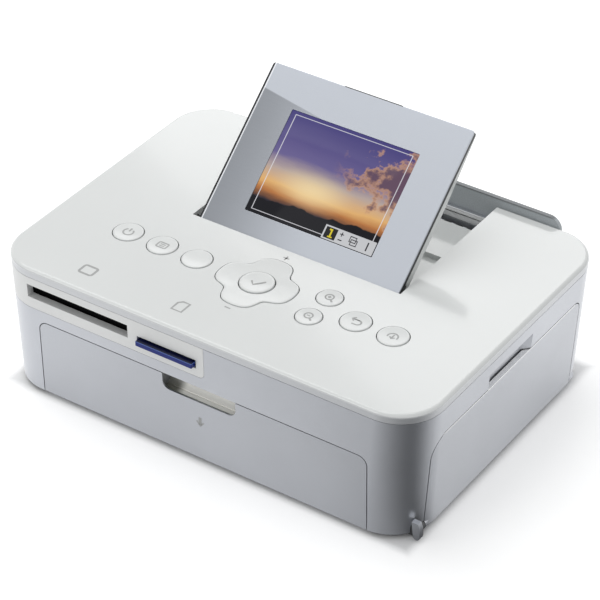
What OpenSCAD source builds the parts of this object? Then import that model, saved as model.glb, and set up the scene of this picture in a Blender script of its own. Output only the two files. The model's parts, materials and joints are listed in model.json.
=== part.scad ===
// Compact dye-sublimation photo printer with a tilting screen, a front paper door and a side ink door.
// X is the width, Y runs from the front to the back and Z is up. The origin is the middle of the
// footprint on the surface that the feet stand on.

/* [Casing] */
// Width of the casing at its top edge
body_w = 178; // [174:1:186]
// Depth of the casing at its top edge
body_d = 127; // [124:1:134]
// Height of the top surface above the table
top_z = 55; // [54:0.5:60]
// Height of the rubber feet
foot_h = 1.4; // [1.3:0.1:1.6]
// Radius of the upright corners
corner_r = 17; // [14:0.5:19]
// Radius of the rounded top edge
edge_r = 1.5; // [1:0.1:1.8]
// How far the right side wall leans in for each unit of height
side_draft = 0.06; // [0.03:0.01:0.07]
// How far the left side wall leans in for each unit of height
left_draft = 0.03; // [0.02:0.01:0.06]
// How far the front wall leans in for each unit of height
front_draft = 0.02; // [0.01:0.005:0.03]
// Thickness of the casing walls
wall = 2; // [1.6:0.1:2.4]
// Thickness of the top surface
cover_t = 2; // [1.8:0.1:2.2]
// Height of the top cover's rim below the top surface
rim_h = 3.7; // [3:0.1:4.5]
// Width of the seams between casing parts
seam = 0.15; // [0.1:0.05:0.3]
// Thickness of the base plate
base_t = 2; // [1.8:0.1:2.6]

/* [Screen] */
// Tilt of the screen above the top surface
screen_tilt = 40.7; // [20:0.1:44]
// Width of the screen unit
screen_w = 85.3; // [80:0.1:85.6]
// Length of the screen unit from its hinge to its far edge
screen_l = 63.14; // [58:0.1:63.2]
// Thickness of the screen's face plate
plate_t = 0.8; // [0.6:0.1:1]
// Thickness of the screen's black middle frame
bezel_t = 2; // [1.6:0.1:2.2]
// Depth of the screen's rear cover below the hinge line
screen_back = 3.7; // [3.2:0.1:4.2]
// Width of the display window
window_w = 54.2; // [50:0.1:58]
// Height of the display window
window_h = 40.6; // [38:0.1:44]
// Diameter of the screen's hinge pegs
screen_peg_d = 1.6; // [1.4:0.1:1.8]
// Width of the recess that the screen folds into
recess_w = 88.8; // [88:0.2:90]

/* [Keys] */
// Radius of the round keys
key_r = 5.6; // [5:0.1:6]
// Radius of the two zoom keys
zoom_r = 4.75; // [4.2:0.05:5.2]
// Spacing of the keys along the row
key_pitch = 15.15; // [14.6:0.05:15.4]
// Outer radius of the four-lobed pad
pad_r = 15.5; // [14.6:0.1:15.8]
// Radius of the key in the middle of the pad
ok_r = 6.3; // [5.8:0.1:6.5]
// Gap around the keys
key_gap = 0.35; // [0.3:0.05:0.4]
// Travel of the keys
key_travel = 0.5; // [0.3:0.05:0.5]

/* [Doors] */
// Width of the casing's front left standing on each side of the paper door
door_side = 19.8; // [19.5:0.1:22]
// Height of the paper door's top edge above the table
door_top = 33.3; // [32:0.1:33.6]
// Gap around both doors
door_gap = 0.35; // [0.25:0.05:0.45]
// Diameter of the paper door's hinge pegs
door_peg_d = 2.4; // [2:0.1:2.6]
// Height of the ink door's top edge above the table
ink_top = 40; // [39.4:0.1:40.4]
// Diameter of the ink door's hinge pins
ink_pin_d = 1.6; // [1.4:0.1:1.8]
// Radial clearance of a shaft or pin in its hole
running = 0.05; // [0.03:0.01:0.08]

/* [Memory cards] */
// Width of the memory card
card_w = 24; // [23.6:0.1:24.2]
// Thickness of the memory card
card_t = 2.1; // [1.9:0.1:2.2]
// Length of the memory card
card_l = 32; // [30:0.5:34]
// Width of the wide card slot
wide_slot_w = 44.3; // [42:0.1:45]
// Height of the wide card slot
wide_slot_h = 5.4; // [4.8:0.1:5.6]

/* [Print engine] */
// Distance between the side plates of the engine
engine_w = 110; // [109:0.5:112]
// Thickness of the engine's side plates
plate_steel = 1.2; // [1:0.1:1.4]
// Height of the paper path above the table
paper_z = 15; // [14.6:0.1:15.4]
// Radius of the platen roller
platen_r = 5; // [4.6:0.1:5.2]
// Radius of the drive roller
drive_r = 4.5; // [4:0.1:4.8]
// Radius of the rubber feed roller
feed_r = 8; // [7.4:0.1:8.4]
// Diameter of the roller shafts
shaft_d = 4; // [3.6:0.1:4.2]
// Module of the gear teeth
gear_m = 0.8; // [0.78:0.01:0.82]
// Radius of the ink cassette's two tubes
tube_r = 9.5; // [9:0.1:9.6]
// Wall of the ink cassette's tubes
tube_wall = 1.2; // [1:0.1:1.4]

/* [Hidden] */
$fn = 48;

eps = 0.01;
CORNER_FN = 96;

// heights of the casing
under_z = top_z - cover_t;
rim_z = top_z - rim_h;
casing_top = rim_z - seam;
casing_z = foot_h + 0.6;
base_top = foot_h + base_t;
wall_x = body_w / 2;
front_y = -body_d / 2;
rear_y = body_d / 2;
function front_at(z) = front_y + front_draft * (top_z - z);
function side_at(z) = wall_x - side_draft * (top_z - z);

// rear panel
panel_t = 1.6;
panel_top = top_z + 3.2;
panel_x0 = -wall_x + 27;
panel_x1 = wall_x - 19;
panel_z0 = 8;

// screen hinge and recess
hinge_depth = 2.6;
hinge_z = top_z - hinge_depth;
lcd_clear = 0.5;
hinge_y = rear_y - lcd_clear - screen_l;
screen_x = 0.4;
recess_y = hinge_y - 2.96;
well_wall = 1.6;
well_floor = 42.5;
well_lip = 44.5;
well_step_y = 37;
well_rear_y = rear_y - 5.5;
ledge_z = 48.8;
screen_boss_r = 3;
hinge_reach = 2.6;

// keys, boards and switches
row_y = recess_y - 22.3;
pad_x = -0.6;
key_x = [pad_x - 2 * key_pitch - 10.65 - key_pitch, pad_x - 2 * key_pitch - 10.65, pad_x - key_pitch - 10.65];
zoom_x = pad_x + 26.1;
zoom_dy = 6.55;
right_x = [zoom_x + 15, zoom_x + 15 + key_pitch];
key_rise = 0.3;
switch_plunger_z = under_z - 1.8;
board_t = 1.2;
switch_h = 0.9;
key_board_z = switch_plunger_z - 0.3 - switch_h - board_t;
stem_z = switch_plunger_z + key_travel + 0.05;
pad_switch_r = 12.5;
pad_tilt_drop = 0.7;
pad_under = stem_z - 0.05;
ring_z = key_board_z + board_t + 0.6;

// doors
door_x = 0.4;
door_w = body_w - 2 * door_side;
door_z0 = casing_z + 0.1;
door_hinge_y = front_at(5.2) + 3.9;
door_hinge_z = 5.2;
door_round = 3.5;
notch_w = 31;
notch_x = 0.8;
notch_z = 27;
pocket_r = 6;
ink_knuckle_r = 2;
ink_hinge_z = 3.4;
ink_hinge_x = side_at(ink_hinge_z) - ink_knuckle_r;
ink_front = front_y + 13;
ink_rear = rear_y - 15.8;
knuckle_w = 4.5;
front_post_w = 4.2;
rear_post_w = 3;
ink_posts = [[ink_front - door_gap - front_post_w, ink_front - door_gap],
    [ink_rear + door_gap, ink_rear + door_gap + rear_post_w]];
post_gap = 0.3;
lug_l = 2.4;
lug_t = 2.6;
lug_y0 = ink_posts[0][0] - 1.6;
lug_x0 = side_at(ink_hinge_z) - 1.3;
lug_z0 = foot_h - 0.3;
lug_z1 = ink_hinge_z + 4.8;
lug_lean = 0.7;
scoop_y0 = -16;
scoop_y1 = 13;
scoop_top = 46.4;
scoop_floor = 40.8;
apron_z = ink_top - 1.2;
scoop_slit = 0.5;
scoop_x = side_at(ink_top) - wall - scoop_slit;
scoop_step = 1.8;
scoop_end = 3;
scoop_back = 1.4;

// screws, bosses and feet
screw_r = 1.2;
boss_r = 3.2;
boss_h = 14;
screw_x = wall_x - 13.5;
screw_posts = [[-screw_x, front_y + 13.5], [-screw_x, rear_y - 13], [screw_x, rear_y - 11.5], [screw_x, front_y + 12]];
board_screw_r = 0.9;
foot_places = [[-wall_x + 27, front_y + 15.5], [-wall_x + 25, rear_y - 11.5],
    [wall_x - 25, rear_y - 11.5], [wall_x - 29, front_y + 15.5]];

// card slots
wide_slot_x = -wall_x + 37.9;
wide_slot_z = 45.3;
card_x = wide_slot_x + 38.7;
bezel_x1 = card_x + 15.8;
bezel_z0 = 38.2;
bezel_rear = front_y + 13.5;
bezel_gap = 0.1;
card_z = 43.2;
card_reach = 1.6;
card_front = front_y - card_reach;
slot_clear = 0.55;
main_board_z = 38.4;
main_board_t = 1.6;
main_top = main_board_z + main_board_t;

// engine
engine_x = 1;
plate_x0 = engine_x - engine_w / 2 - plate_steel;
plate_x1 = engine_x + engine_w / 2;
plate_top = 37.6;
engine_y0 = rear_y - 103.5;
engine_y1 = rear_y - 6.5;
bush_t = 2.4;
bush_r = shaft_d / 2 + 1.4;
end_gap = 0.4;
platen_y = rear_y - 54.5;
platen_z = paper_z - platen_r;
drive_y = rear_y - 17.5;
drive_z = paper_z + drive_r;
pinch_r = 3.8;
pinch_z = paper_z - 0.1 - pinch_r;
feed_y = rear_y - 96.5;
feed_z = 27;
supply_y = rear_y - 75.5;
take_up_y = rear_y - 33.5;
spool_z = 27;
head_pivot_y = rear_y - 19;
head_pivot_z = 37.2;
head_arm_z = spool_z + tube_r + 1.7;
head_y = platen_y - 1.2;
head_bottom = paper_z + 2.4;
head_end = 3.6;
cassette_x0 = plate_x0 + plate_steel + 1;
cassette_x1 = wall_x - 11;
cassette_end_t = 2;
beam_z = 25.2;
spool_r = 2.4;
core_r = 3.4;
spool_x0 = cassette_x0 + 0.4;
grip_x0 = plate_x1 + 2;
spool_x1 = grip_x0 + 3;
latch_y = take_up_y + tube_r + 4.4;
latch_z = spool_z;
inner_x0 = plate_x0 + plate_steel + 0.6 + end_gap;
inner_x1 = plate_x1 - 0.6 - end_gap;

// main board and the posts that carry it
main_x0 = -wall_x + 5;
main_x1 = plate_x1 + plate_steel + 8.8;
main_y0 = front_y + 6;
main_y1 = recess_y - well_wall - 1.4;
board_posts = [[main_x0 + 5, front_y + 19.5], [main_x0 + 5, main_y1 - 5.9],
    [main_x1 - 3, front_y + 13.5], [main_x1 - 3, front_y + 33.5]];

// gears, all in one plane outside the left side plate
gear_x0 = plate_x0 - 5.6;
gear_w = 4;
pinion_n = 12;
drive_n = 32;
idler_n = 36;
reverse_n = 24;
feed_n = 24;
mesh_play = 0.12;
function pitch_r(n) = gear_m * n / 2;
function centre_gap(a, b) = pitch_r(a) + pitch_r(b) + mesh_play;
motor_y = drive_y - centre_gap(drive_n, pinion_n);
motor_z = drive_z;
idler_y = motor_y - centre_gap(pinion_n, idler_n);
idler_z = motor_z;
// the reversing gear sits where it meets both the idler and the feed gear
span_y = idler_y - feed_y;
span_z = idler_z - feed_z;
span = sqrt(span_y * span_y + span_z * span_z);
arm_a = centre_gap(feed_n, reverse_n);
arm_b = centre_gap(reverse_n, idler_n);
arm_cos = (arm_a * arm_a + span * span - arm_b * arm_b) / (2 * arm_a * span);
span_angle = atan2(span_z, span_y);
reverse_angle = span_angle - acos(min(1, arm_cos));
reverse_y = feed_y + arm_a * cos(reverse_angle);
reverse_z = feed_z + arm_a * sin(reverse_angle);
// studs for the idler and reversing gears
stud_places = [[idler_y, idler_z], [reverse_y, reverse_z]];
motor_x1 = gear_x0 - 2.8;
motor_r = 12;
// turns a gear so that its teeth meet those of its neighbour in direction a
function mesh_turn(a, turn, n, n_next) = a + 180 - 180 / n_next + (a - turn) * n / n_next;
drive_turn = 0;
pinion_turn = mesh_turn(180, drive_turn, drive_n, pinion_n);
idler_turn = mesh_turn(180, pinion_turn, pinion_n, idler_n);
idler_to_reverse = atan2(reverse_z - idler_z, reverse_y - idler_y);
reverse_turn = mesh_turn(idler_to_reverse, idler_turn, idler_n, reverse_n);
reverse_to_feed = atan2(feed_z - reverse_z, feed_y - reverse_y);
feed_turn = mesh_turn(reverse_to_feed, reverse_turn, reverse_n, feed_n);

// ---------- shapes that repeat ----------

module rounded_rect(w, d, r) {
    square([w - 2 * r, d], center = true);
    square([w, d - 2 * r], center = true);
    for (sx = [-1, 1], sy = [-1, 1])
        translate([sx * (w / 2 - r), sy * (d / 2 - r)])
            circle(r, $fn = CORNER_FN);
}

// a thin slice of the casing's outline at height z, moved in by inset
module case_slice(z, inset) {
    lean = top_z - z;
    w = body_w - (side_draft + left_draft) * lean - 2 * inset;
    d = body_d - front_draft * lean - 2 * inset;
    translate([(left_draft - side_draft) * lean / 2, front_draft * lean / 2, z])
        linear_extrude(eps)
            rounded_rect(w, d, corner_r - inset);
}

// the casing's outline as a leaning block from z0 to z1
module case_block(z0, z1, inset = 0) {
    hull() {
        case_slice(z0, inset);
        case_slice(z1 - eps, inset);
    }
}

// the same block with its top edge rounded
module rounded_case_block(z0) {
    hull() {
        case_slice(z0, 0);
        for (a = [0 : 15 : 90])
            case_slice(top_z - edge_r + edge_r * sin(a) - eps, edge_r * (1 - cos(a)));
    }
}

// a wall of the casing between the outer outline and one moved in
module case_wall(z0, z1, outer = 0, inner = wall) {
    difference() {
        case_block(z0, z1, outer);
        case_block(z0 - 1, z1 + 1, inner);
    }
}

module box(x0, x1, y0, y1, z0, z1) {
    translate([x0, y0, z0])
        cube([x1 - x0, y1 - y0, z1 - z0]);
}

// a cylinder along X
module rod_x(r, x0, x1, y, z) {
    translate([x0, y, z])
        rotate([0, 90, 0])
            cylinder(r = r, h = x1 - x0);
}

// a cylinder along Y
module rod_y(r, y0, y1, x, z) {
    translate([x, y0, z])
        rotate([-90, 0, 0])
            cylinder(r = r, h = y1 - y0);
}

// a flat outline drawn in Y and Z, given thickness along X
module along_x(x0, x1) {
    translate([x0, 0, 0])
        rotate([90, 0, 90])
            linear_extrude(x1 - x0)
                children();
}

// a flat outline drawn in X and Z, given thickness along Y
module along_y(y0, y1) {
    translate([0, y1, 0])
        rotate([90, 0, 0])
            linear_extrude(y1 - y0)
                children();
}

// ---------- casing ----------

function lobe_r(a, grow) = pad_r + grow - 3.8 * pow((1 - cos(4 * a)) / 2, 2.5);
module lobed_outline(grow = 0) {
    polygon([for (a = [0 : 5 : 355]) lobe_r(a, grow) * [cos(a), sin(a)]]);
}

module key_hole(x, y, r) {
    translate([x, y, under_z - 1])
        cylinder(r = r + key_gap, h = cover_t + 2);
}

module top_cover() {
    color("#e9ebe9")
    difference() {
        rounded_case_block(rim_z);
        case_block(rim_z - 1, under_z, wall);
        box(-recess_w / 2, recess_w / 2, recess_y, rear_y + 1, rim_z - 1, top_z + 1);
        for (x = key_x)
            key_hole(x, row_y, key_r);
        for (x = right_x)
            key_hole(x, row_y, key_r);
        for (s = [-1, 1])
            key_hole(zoom_x, row_y + s * zoom_dy, zoom_r);
        translate([pad_x, row_y, under_z - 1])
            linear_extrude(cover_t + 2)
                lobed_outline(key_gap);
        // room for the screen's hinge bosses
        box(-recess_w / 2 - 5, recess_w / 2 + 5, hinge_y - 3.6, hinge_y + 3.6, rim_z - 1, hinge_z + 1.6);
    }
}

module door_outline(grow) {
    w = door_w + 2 * grow;
    h = door_top - door_z0 + grow;
    r = door_round + grow;
    translate([door_x - w / 2, door_z0])
        square([w, h - r]);
    translate([door_x - w / 2 + r, door_z0])
        square([w - 2 * r, h]);
    for (s = [-1, 1])
        translate([door_x + s * (w / 2 - r), door_z0 + h - r])
            circle(r);
}

// the ink door's outline in Y and Z
module ink_outline(grow, z0) {
    front_r = 8 + grow;
    rear_r = 4 + grow;
    top = ink_top + grow;
    front = ink_front - grow;
    rear = ink_rear + grow;
    polygon([
        [front, z0], [front, top - front_r], [front + front_r, top - front_r], [front + front_r, top],
        [rear - rear_r, top], [rear - rear_r, top - rear_r], [rear, top - rear_r], [rear, z0],
    ]);
    translate([front + front_r, top - front_r])
        circle(front_r);
    translate([rear - rear_r, top - rear_r])
        circle(rear_r);
}

module side_casing() {
    lip_in = wall + 0.2;
    lip_z = casing_top - 4;
    color("#c3c8cc")
    difference() {
        union() {
            case_wall(casing_z, casing_top);
            // a lip that the top cover sits on, with the band that joins it to the wall
            difference() {
                union() {
                    case_wall(lip_z, under_z, lip_in, lip_in + 1.2);
                    case_wall(lip_z, lip_z + 1.4, wall - 0.1, lip_in + 0.1);
                }
                box(-recess_w / 2 - 8, recess_w / 2 + 8, 0, rear_y - wall, lip_z - 2, top_z);
                box(-body_w, bezel_x1 + 3, front_y, bezel_rear + 3, lip_z - 2, top_z);
            }
            // backing for the finger scoop
            box(scoop_x - scoop_back, side_at(scoop_floor) - wall / 3, scoop_y0 - scoop_back, scoop_y1 + scoop_back,
                apron_z, scoop_top + 1.6);
            // screw bosses in the corners, each with a rib to the wall
            for (p = screw_posts)
                translate([p[0], p[1], base_top])
                    cylinder(r = boss_r, h = boss_h);
            for (p = screw_posts)
                box(p[0] - 1, p[0] + 1, p[1] < 0 ? front_y + 3.2 : p[1], p[1] < 0 ? p[1] : rear_y - 2.5,
                    base_top, base_top + 9);
        }
        // paper door
        along_y(front_y - 2, front_y + 7)
            door_outline(door_gap);
        box(door_x - door_w / 2 - door_gap, door_x + door_w / 2 + door_gap, front_y - 2, front_y + 7, 0, door_z0 + 1);
        // ink door, with the apron behind its top edge left standing
        difference() {
            along_x(side_at(0) - 8, wall_x + 2)
                ink_outline(door_gap, 0);
            box(scoop_x - scoop_back, scoop_x, scoop_y0 - scoop_back, scoop_y1 + scoop_back, apron_z, top_z);
        }
        finger_scoop();
        // notches for the base's hinge posts
        for (p = ink_posts) {
            rod_y(ink_knuckle_r + post_gap, p[0] - post_gap, p[1] + post_gap, ink_hinge_x, ink_hinge_z);
            box(ink_hinge_x - ink_knuckle_r - post_gap, body_w, p[0] - post_gap, p[1] + post_gap, 0, ink_hinge_z);
        }
        // card slot insert
        intersection() {
            box(-body_w, body_w, front_y - 2, bezel_rear + bezel_gap, 0, top_z);
            along_y(front_y - 2, bezel_rear + 2)
                bezel_outline(bezel_gap);
        }
        // low rear wall below the screen's recess
        box(-recess_w / 2, recess_w / 2, rear_y - wall - 1, rear_y + 1, ledge_z, top_z);
        rear_openings(rear_y - wall - 2, rear_y + 1);
        side_vents();
        for (p = screw_posts)
            translate([p[0], p[1], 0])
                cylinder(r = screw_r, h = boss_h);
    }
}

// scoop for a finger above the ink door, shallow, with slanting ends and a sloping ceiling
module finger_scoop() {
    x_in = side_at(scoop_top) - 0.2;
    x_out = x_in + 4;
    intersection() {
        along_y(scoop_y0, scoop_y1)
            polygon([[x_out, scoop_top], [x_in, scoop_top], [scoop_x, scoop_floor + scoop_step],
                [scoop_x, ink_top - 2], [x_out, ink_top - 2]]);
        translate([0, 0, ink_top - 3])
            linear_extrude(top_z - ink_top)
                polygon([[scoop_x, scoop_y0 + scoop_end], [x_in, scoop_y0], [x_out, scoop_y0],
                    [x_out, scoop_y1], [x_in, scoop_y1], [scoop_x, scoop_y1 - scoop_end]]);
    }
}

// outline of the card slot insert, with its lower inner corner rounded
module bezel_outline(grow) {
    r = 2 + grow;
    x1 = bezel_x1 + grow;
    z0 = bezel_z0 - grow;
    translate([-body_w, z0])
        square([body_w + x1 - r, top_z - z0]);
    translate([-body_w, z0 + r])
        square([body_w + x1, top_z - z0 - r]);
    translate([x1 - r, z0 + r])
        circle(r);
}

// vents through the left wall
vent_pitch = 5;
vent_w = 1.6;
module side_vents() {
    for (i = [0 : 6])
        box(-wall_x - 3, -wall_x + 7, 4 + i * vent_pitch, 4 + vent_w + i * vent_pitch, 20, 36);
}

// openings through the rear wall and the rear panel
paper_slot_w = 106;
module rear_openings(y0, y1) {
    box(engine_x - paper_slot_w / 2, engine_x + paper_slot_w / 2, y0, y1, paper_z - 2.4, paper_z + 2.6);
    for (i = [0 : 9])
        box(engine_x + 10 + i * 5, engine_x + 12 + i * 5, y0, y1, 30, 42);
    rod_y(4.2, y0, y1, jack_x, io_port_z);
    box(usb_b_x - 4.4, usb_b_x + 4.4, y0, y1, io_port_z - 4.2, io_port_z + 4.2);
    box(usb_a_x - 7, usb_a_x + 7, y0, y1, io_port_z - 3.2, io_port_z + 3.2);
}

module card_bezel() {
    color("#ccd0d3")
    difference() {
        union() {
            intersection() {
                case_wall(bezel_z0, casing_top, 0, wall + 0.5);
                box(-body_w, body_w, front_y - 2, bezel_rear, 0, top_z);
                along_y(front_y - 2, bezel_rear + 2)
                    bezel_outline(0);
            }
            // flange that bears on the back of the casing wall
            intersection() {
                case_wall(bezel_z0 - 2, casing_top, wall + 0.05, wall + 1);
                box(-body_w, bezel_x1 + 2, front_y - 2, bezel_rear + 2, 0, top_z);
            }
        }
        box(wide_slot_x - wide_slot_w / 2, wide_slot_x + wide_slot_w / 2, front_y - 2, front_y + 8,
            wide_slot_z - wide_slot_h / 2, wide_slot_z + wide_slot_h / 2);
        box(card_x - card_w / 2 - slot_clear, card_x + card_w / 2 + slot_clear, front_y - 2, front_y + 8,
            card_z - card_t / 2 - slot_clear, card_z + card_t / 2 + slot_clear + 0.3);
    }
}

module base_tray() {
    color("#b9bec2")
    difference() {
        union() {
            case_block(foot_h, casing_z, 0.5);
            case_block(foot_h, base_top, wall + 0.2);
            // paper door hinge posts
            intersection() {
                case_block(foot_h, door_hinge_z + 3, wall + 0.2);
                for (s = [-1, 1])
                    translate([door_x + s * (door_w / 2 + 2.6), 0, 0])
                        box(-1.9, 1.9, door_hinge_y - 1.75, door_hinge_y + 3, base_top - 0.5, door_hinge_z + 2.6);
            }
            // ink door hinge posts, each on a web under the casing's edge
            for (p = ink_posts) {
                rod_y(ink_knuckle_r, p[0], p[1], ink_hinge_x, ink_hinge_z);
                box(ink_hinge_x - 8, ink_hinge_x, p[0], p[1], foot_h - 0.5, casing_z - 0.1);
            }
            hinge_lug();
            for (p = board_posts)
                translate([p[0], p[1], base_top - 0.5])
                    cylinder(r = 2.6, h = main_board_z - base_top + 0.5);
        }
        // room for the paper door's lower edge as it swings
        box(door_x - door_w / 2 - 0.6, door_x + door_w / 2 + 0.6, front_y - 1, door_hinge_y + 5.3, 0, base_top + 0.2);
        // room for the ink door's lower edge and knuckles
        box(ink_hinge_x - ink_knuckle_r - 0.8, body_w, ink_posts[0][1], ink_posts[1][0], 0, base_top + 0.2);
        rod_x(door_peg_d / 2 + running, -wall_x, wall_x, door_hinge_y, door_hinge_z);
        rod_y(ink_pin_d / 2, ink_posts[0][0] + 0.2, ink_posts[1][1] - 0.2, ink_hinge_x, ink_hinge_z);
        for (p = screw_posts)
            translate([p[0], p[1], 0]) {
                cylinder(r = screw_r + 0.2, h = 8);
                cylinder(r = screw_r + 1.4, h = foot_h + 1);
            }
        for (p = board_posts)
            translate([p[0], p[1], main_board_z - 6])
                cylinder(r = board_screw_r, h = 8);
    }
}

// lug standing out from the corner at the front end of the ink door's hinge
module hinge_lug() {
    r = lug_t / 2;
    x1 = lug_x0 + lug_t;
    rod_y(r, lug_y0, lug_y0 + lug_l, lug_x0 + r, lug_z0 + r);
    along_y(lug_y0, lug_y0 + lug_l)
        polygon([[lug_x0, lug_z0 + r], [x1, lug_z0 + r], [x1, lug_z1 - 2], [x1 - lug_lean, lug_z1],
            [lug_x0 - lug_lean, lug_z1]]);
}

module rubber_feet() {
    color("#2b2c2e")
    for (p = foot_places)
        translate([p[0], p[1], 0])
            cylinder(r = 4.5, h = foot_h);
}

module case_screws() {
    color("#8f9296")
    for (p = screw_posts)
        translate([p[0], p[1], foot_h + 0.4]) {
            cylinder(r = screw_r + 1.2, h = 0.6);
            cylinder(r = screw_r, h = 9);
        }
}

module rear_panel() {
    color("#7d858c")
    difference() {
        union() {
            along_y(rear_y, rear_y + panel_t) {
                translate([panel_x0, panel_z0])
                    square([panel_x1 - panel_x0, panel_top - panel_z0 - 5]);
                translate([panel_x0 + 5, panel_z0])
                    square([panel_x1 - panel_x0 - 10, panel_top - panel_z0]);
                for (x = [panel_x0 + 5, panel_x1 - 5])
                    translate([x, panel_top - 5])
                        circle(5);
            }
        }
        rear_openings(rear_y - 1, rear_y + panel_t + 1);
    }
}

// tray under the screen, hung from the top cover
module lcd_well() {
    w = recess_w / 2;
    color("#e2e4e3")
    difference() {
        union() {
            box(-w - well_wall, w + well_wall, recess_y - well_wall, well_rear_y, well_floor - 1.5, under_z);
            for (s = [-1, 1])
                translate([s * (w + well_wall), 0, 0])
                    box(-hinge_reach + 0.1, hinge_reach - 0.1, hinge_y - 3.4, hinge_y + 3.4, well_floor + 4, hinge_z + 1.5);
        }
        box(-w, w, recess_y, well_step_y, well_floor, top_z);
        box(-w, w, well_step_y - 1, well_rear_y + 1, well_lip, top_z);
        rod_x(screen_peg_d / 2 + running, -w - 6, w + 6, hinge_y, hinge_z);
    }
}

// ---------- doors ----------

module front_door() {
    peg_root = door_w / 2 - 2.2;
    color("#bfc4c9")
    difference() {
        union() {
            intersection() {
                case_wall(door_z0, door_top + 1);
                along_y(front_y - 2, front_y + 6)
                    door_outline(0);
            }
            // scooped pocket behind the finger notch
            box(notch_x - notch_w / 2 - 1.4, notch_x + notch_w / 2 + 1.4, front_at(notch_z) + 1, front_at(notch_z) + 7.4,
                notch_z - 3.4, door_top - 1.2);
            for (s = [-1, 1])
                translate([door_x, 0, 0]) {
                    rod_x(2.3, s > 0 ? peg_root - 3 : -peg_root - 0.4, s > 0 ? peg_root + 0.4 : -peg_root + 3,
                        door_hinge_y, door_hinge_z);
                    box(s > 0 ? peg_root - 3 : -peg_root - 0.4, s > 0 ? peg_root + 0.4 : -peg_root + 3,
                        front_at(5) + 1, door_hinge_y, door_hinge_z - 2.3, door_hinge_z + 2.3);
                    rod_x(door_peg_d / 2, s > 0 ? peg_root : -door_w / 2 - 3.4, s > 0 ? door_w / 2 + 3.4 : -peg_root,
                        door_hinge_y, door_hinge_z);
                }
        }
        // finger notch with rounded lower corners
        along_y(front_y - 2, front_at(notch_z) + 3)
            union() {
                translate([notch_x - notch_w / 2, notch_z + 3])
                    square([notch_w, 12]);
                translate([notch_x - notch_w / 2 + 3, notch_z])
                    square([notch_w - 6, 12]);
                for (s = [-1, 1])
                    translate([notch_x + s * (notch_w / 2 - 3), notch_z + 3])
                        circle(3);
            }
        // the pocket's curved floor
        intersection() {
            rod_x(pocket_r, notch_x - notch_w / 2, notch_x + notch_w / 2, front_at(notch_z) + 0.2, notch_z + pocket_r - 0.4);
            box(-80, 80, front_at(notch_z) + 0.8, front_y + 12, notch_z - 2, door_top + 3);
        }
    }
}

module ink_door() {
    color("#c6cacf")
    difference() {
        union() {
            intersection() {
                case_wall(door_z0, ink_top + 1);
                along_x(side_at(0) - 8, wall_x + 2)
                    ink_outline(0, 0);
            }
            // hinge knuckles at both ends of the lower edge
            for (y = [ink_front, ink_rear - knuckle_w])
                rod_y(ink_knuckle_r, y, y + knuckle_w, ink_hinge_x, ink_hinge_z);
        }
        rod_y(ink_pin_d / 2 + running, ink_front - 1, ink_front + knuckle_w - 0.6, ink_hinge_x, ink_hinge_z);
        rod_y(ink_pin_d / 2 + running, ink_rear - knuckle_w + 0.6, ink_rear + 1, ink_hinge_x, ink_hinge_z);
    }
}

module ink_door_pins() {
    color("#a9adb2") {
        rod_y(ink_pin_d / 2, ink_posts[0][0] + 0.3, ink_front + knuckle_w - 0.8, ink_hinge_x, ink_hinge_z);
        rod_y(ink_pin_d / 2, ink_rear - knuckle_w + 0.8, ink_posts[1][1] - 0.3, ink_hinge_x, ink_hinge_z);
    }
}

// ---------- screen ----------

// the screen unit is drawn flat, with the hinge line at its origin, then tilted up
module tilted() {
    translate([screen_x, hinge_y, hinge_z])
        rotate([screen_tilt, 0, 0])
            children();
}

plate_y0 = -1.4;
plate_z1 = hinge_depth;
plate_z0 = plate_z1 - plate_t;
frame_z0 = plate_z0 - bezel_t;
window_y0 = 8.1;
window_seat = 0.6;
lug_w = 2.2;

module lcd_front_plate() {
    hw = screen_w / 2;
    color("#a2a8b0")
    tilted()
    difference() {
        box(-hw, hw, plate_y0, screen_l, plate_z0, plate_z1);
        box(-window_w / 2, window_w / 2, window_y0, window_y0 + window_h, plate_z0 - 1, plate_z1 + 1);
    }
}

module lcd_window() {
    color("#14151b")
    tilted()
        box(-window_w / 2 + 0.1, window_w / 2 - 0.1, window_y0 + 0.1, window_y0 + window_h - 0.1,
            plate_z0 - window_seat, plate_z1 - 0.2);
}

module lcd_frame() {
    hw = screen_w / 2 - 0.3;
    tab = 12.3;
    color("#26272a")
    tilted()
    difference() {
        union() {
            box(-hw, hw, plate_y0 + 0.3, screen_l - 0.3, frame_z0, plate_z0);
            // finger tab at the far edge
            box(-tab, tab, screen_l - 1, screen_l + 0.3, frame_z0, plate_z0);
            // hinge lugs and their pegs
            for (s = [-1, 1]) {
                box(s > 0 ? hw - lug_w : -hw, s > 0 ? hw : -hw + lug_w, plate_y0 + 0.3, 3.6, -1.5, frame_z0 + 0.1);
            }
            rod_x(screen_peg_d / 2, -recess_w / 2 - 1.8 - screen_x, -hw + 1, 0, 0);
            rod_x(screen_peg_d / 2, hw - 1, recess_w / 2 + 1.8 - screen_x, 0, 0);
        }
        box(-window_w / 2 + 3, window_w / 2 - 3, window_y0 + 3, window_y0 + window_h - 3, frame_z0 - 1, plate_z1);
        box(-window_w / 2, window_w / 2, window_y0, window_y0 + window_h, plate_z0 - window_seat, plate_z1);
    }
}

module lcd_panel() {
    color("#3a3c40")
    tilted()
        box(-window_w / 2 + 3.2, window_w / 2 - 3.2, window_y0 + 3.2, window_y0 + window_h - 3.2,
            -1.6, plate_z0 - window_seat);
}

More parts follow.
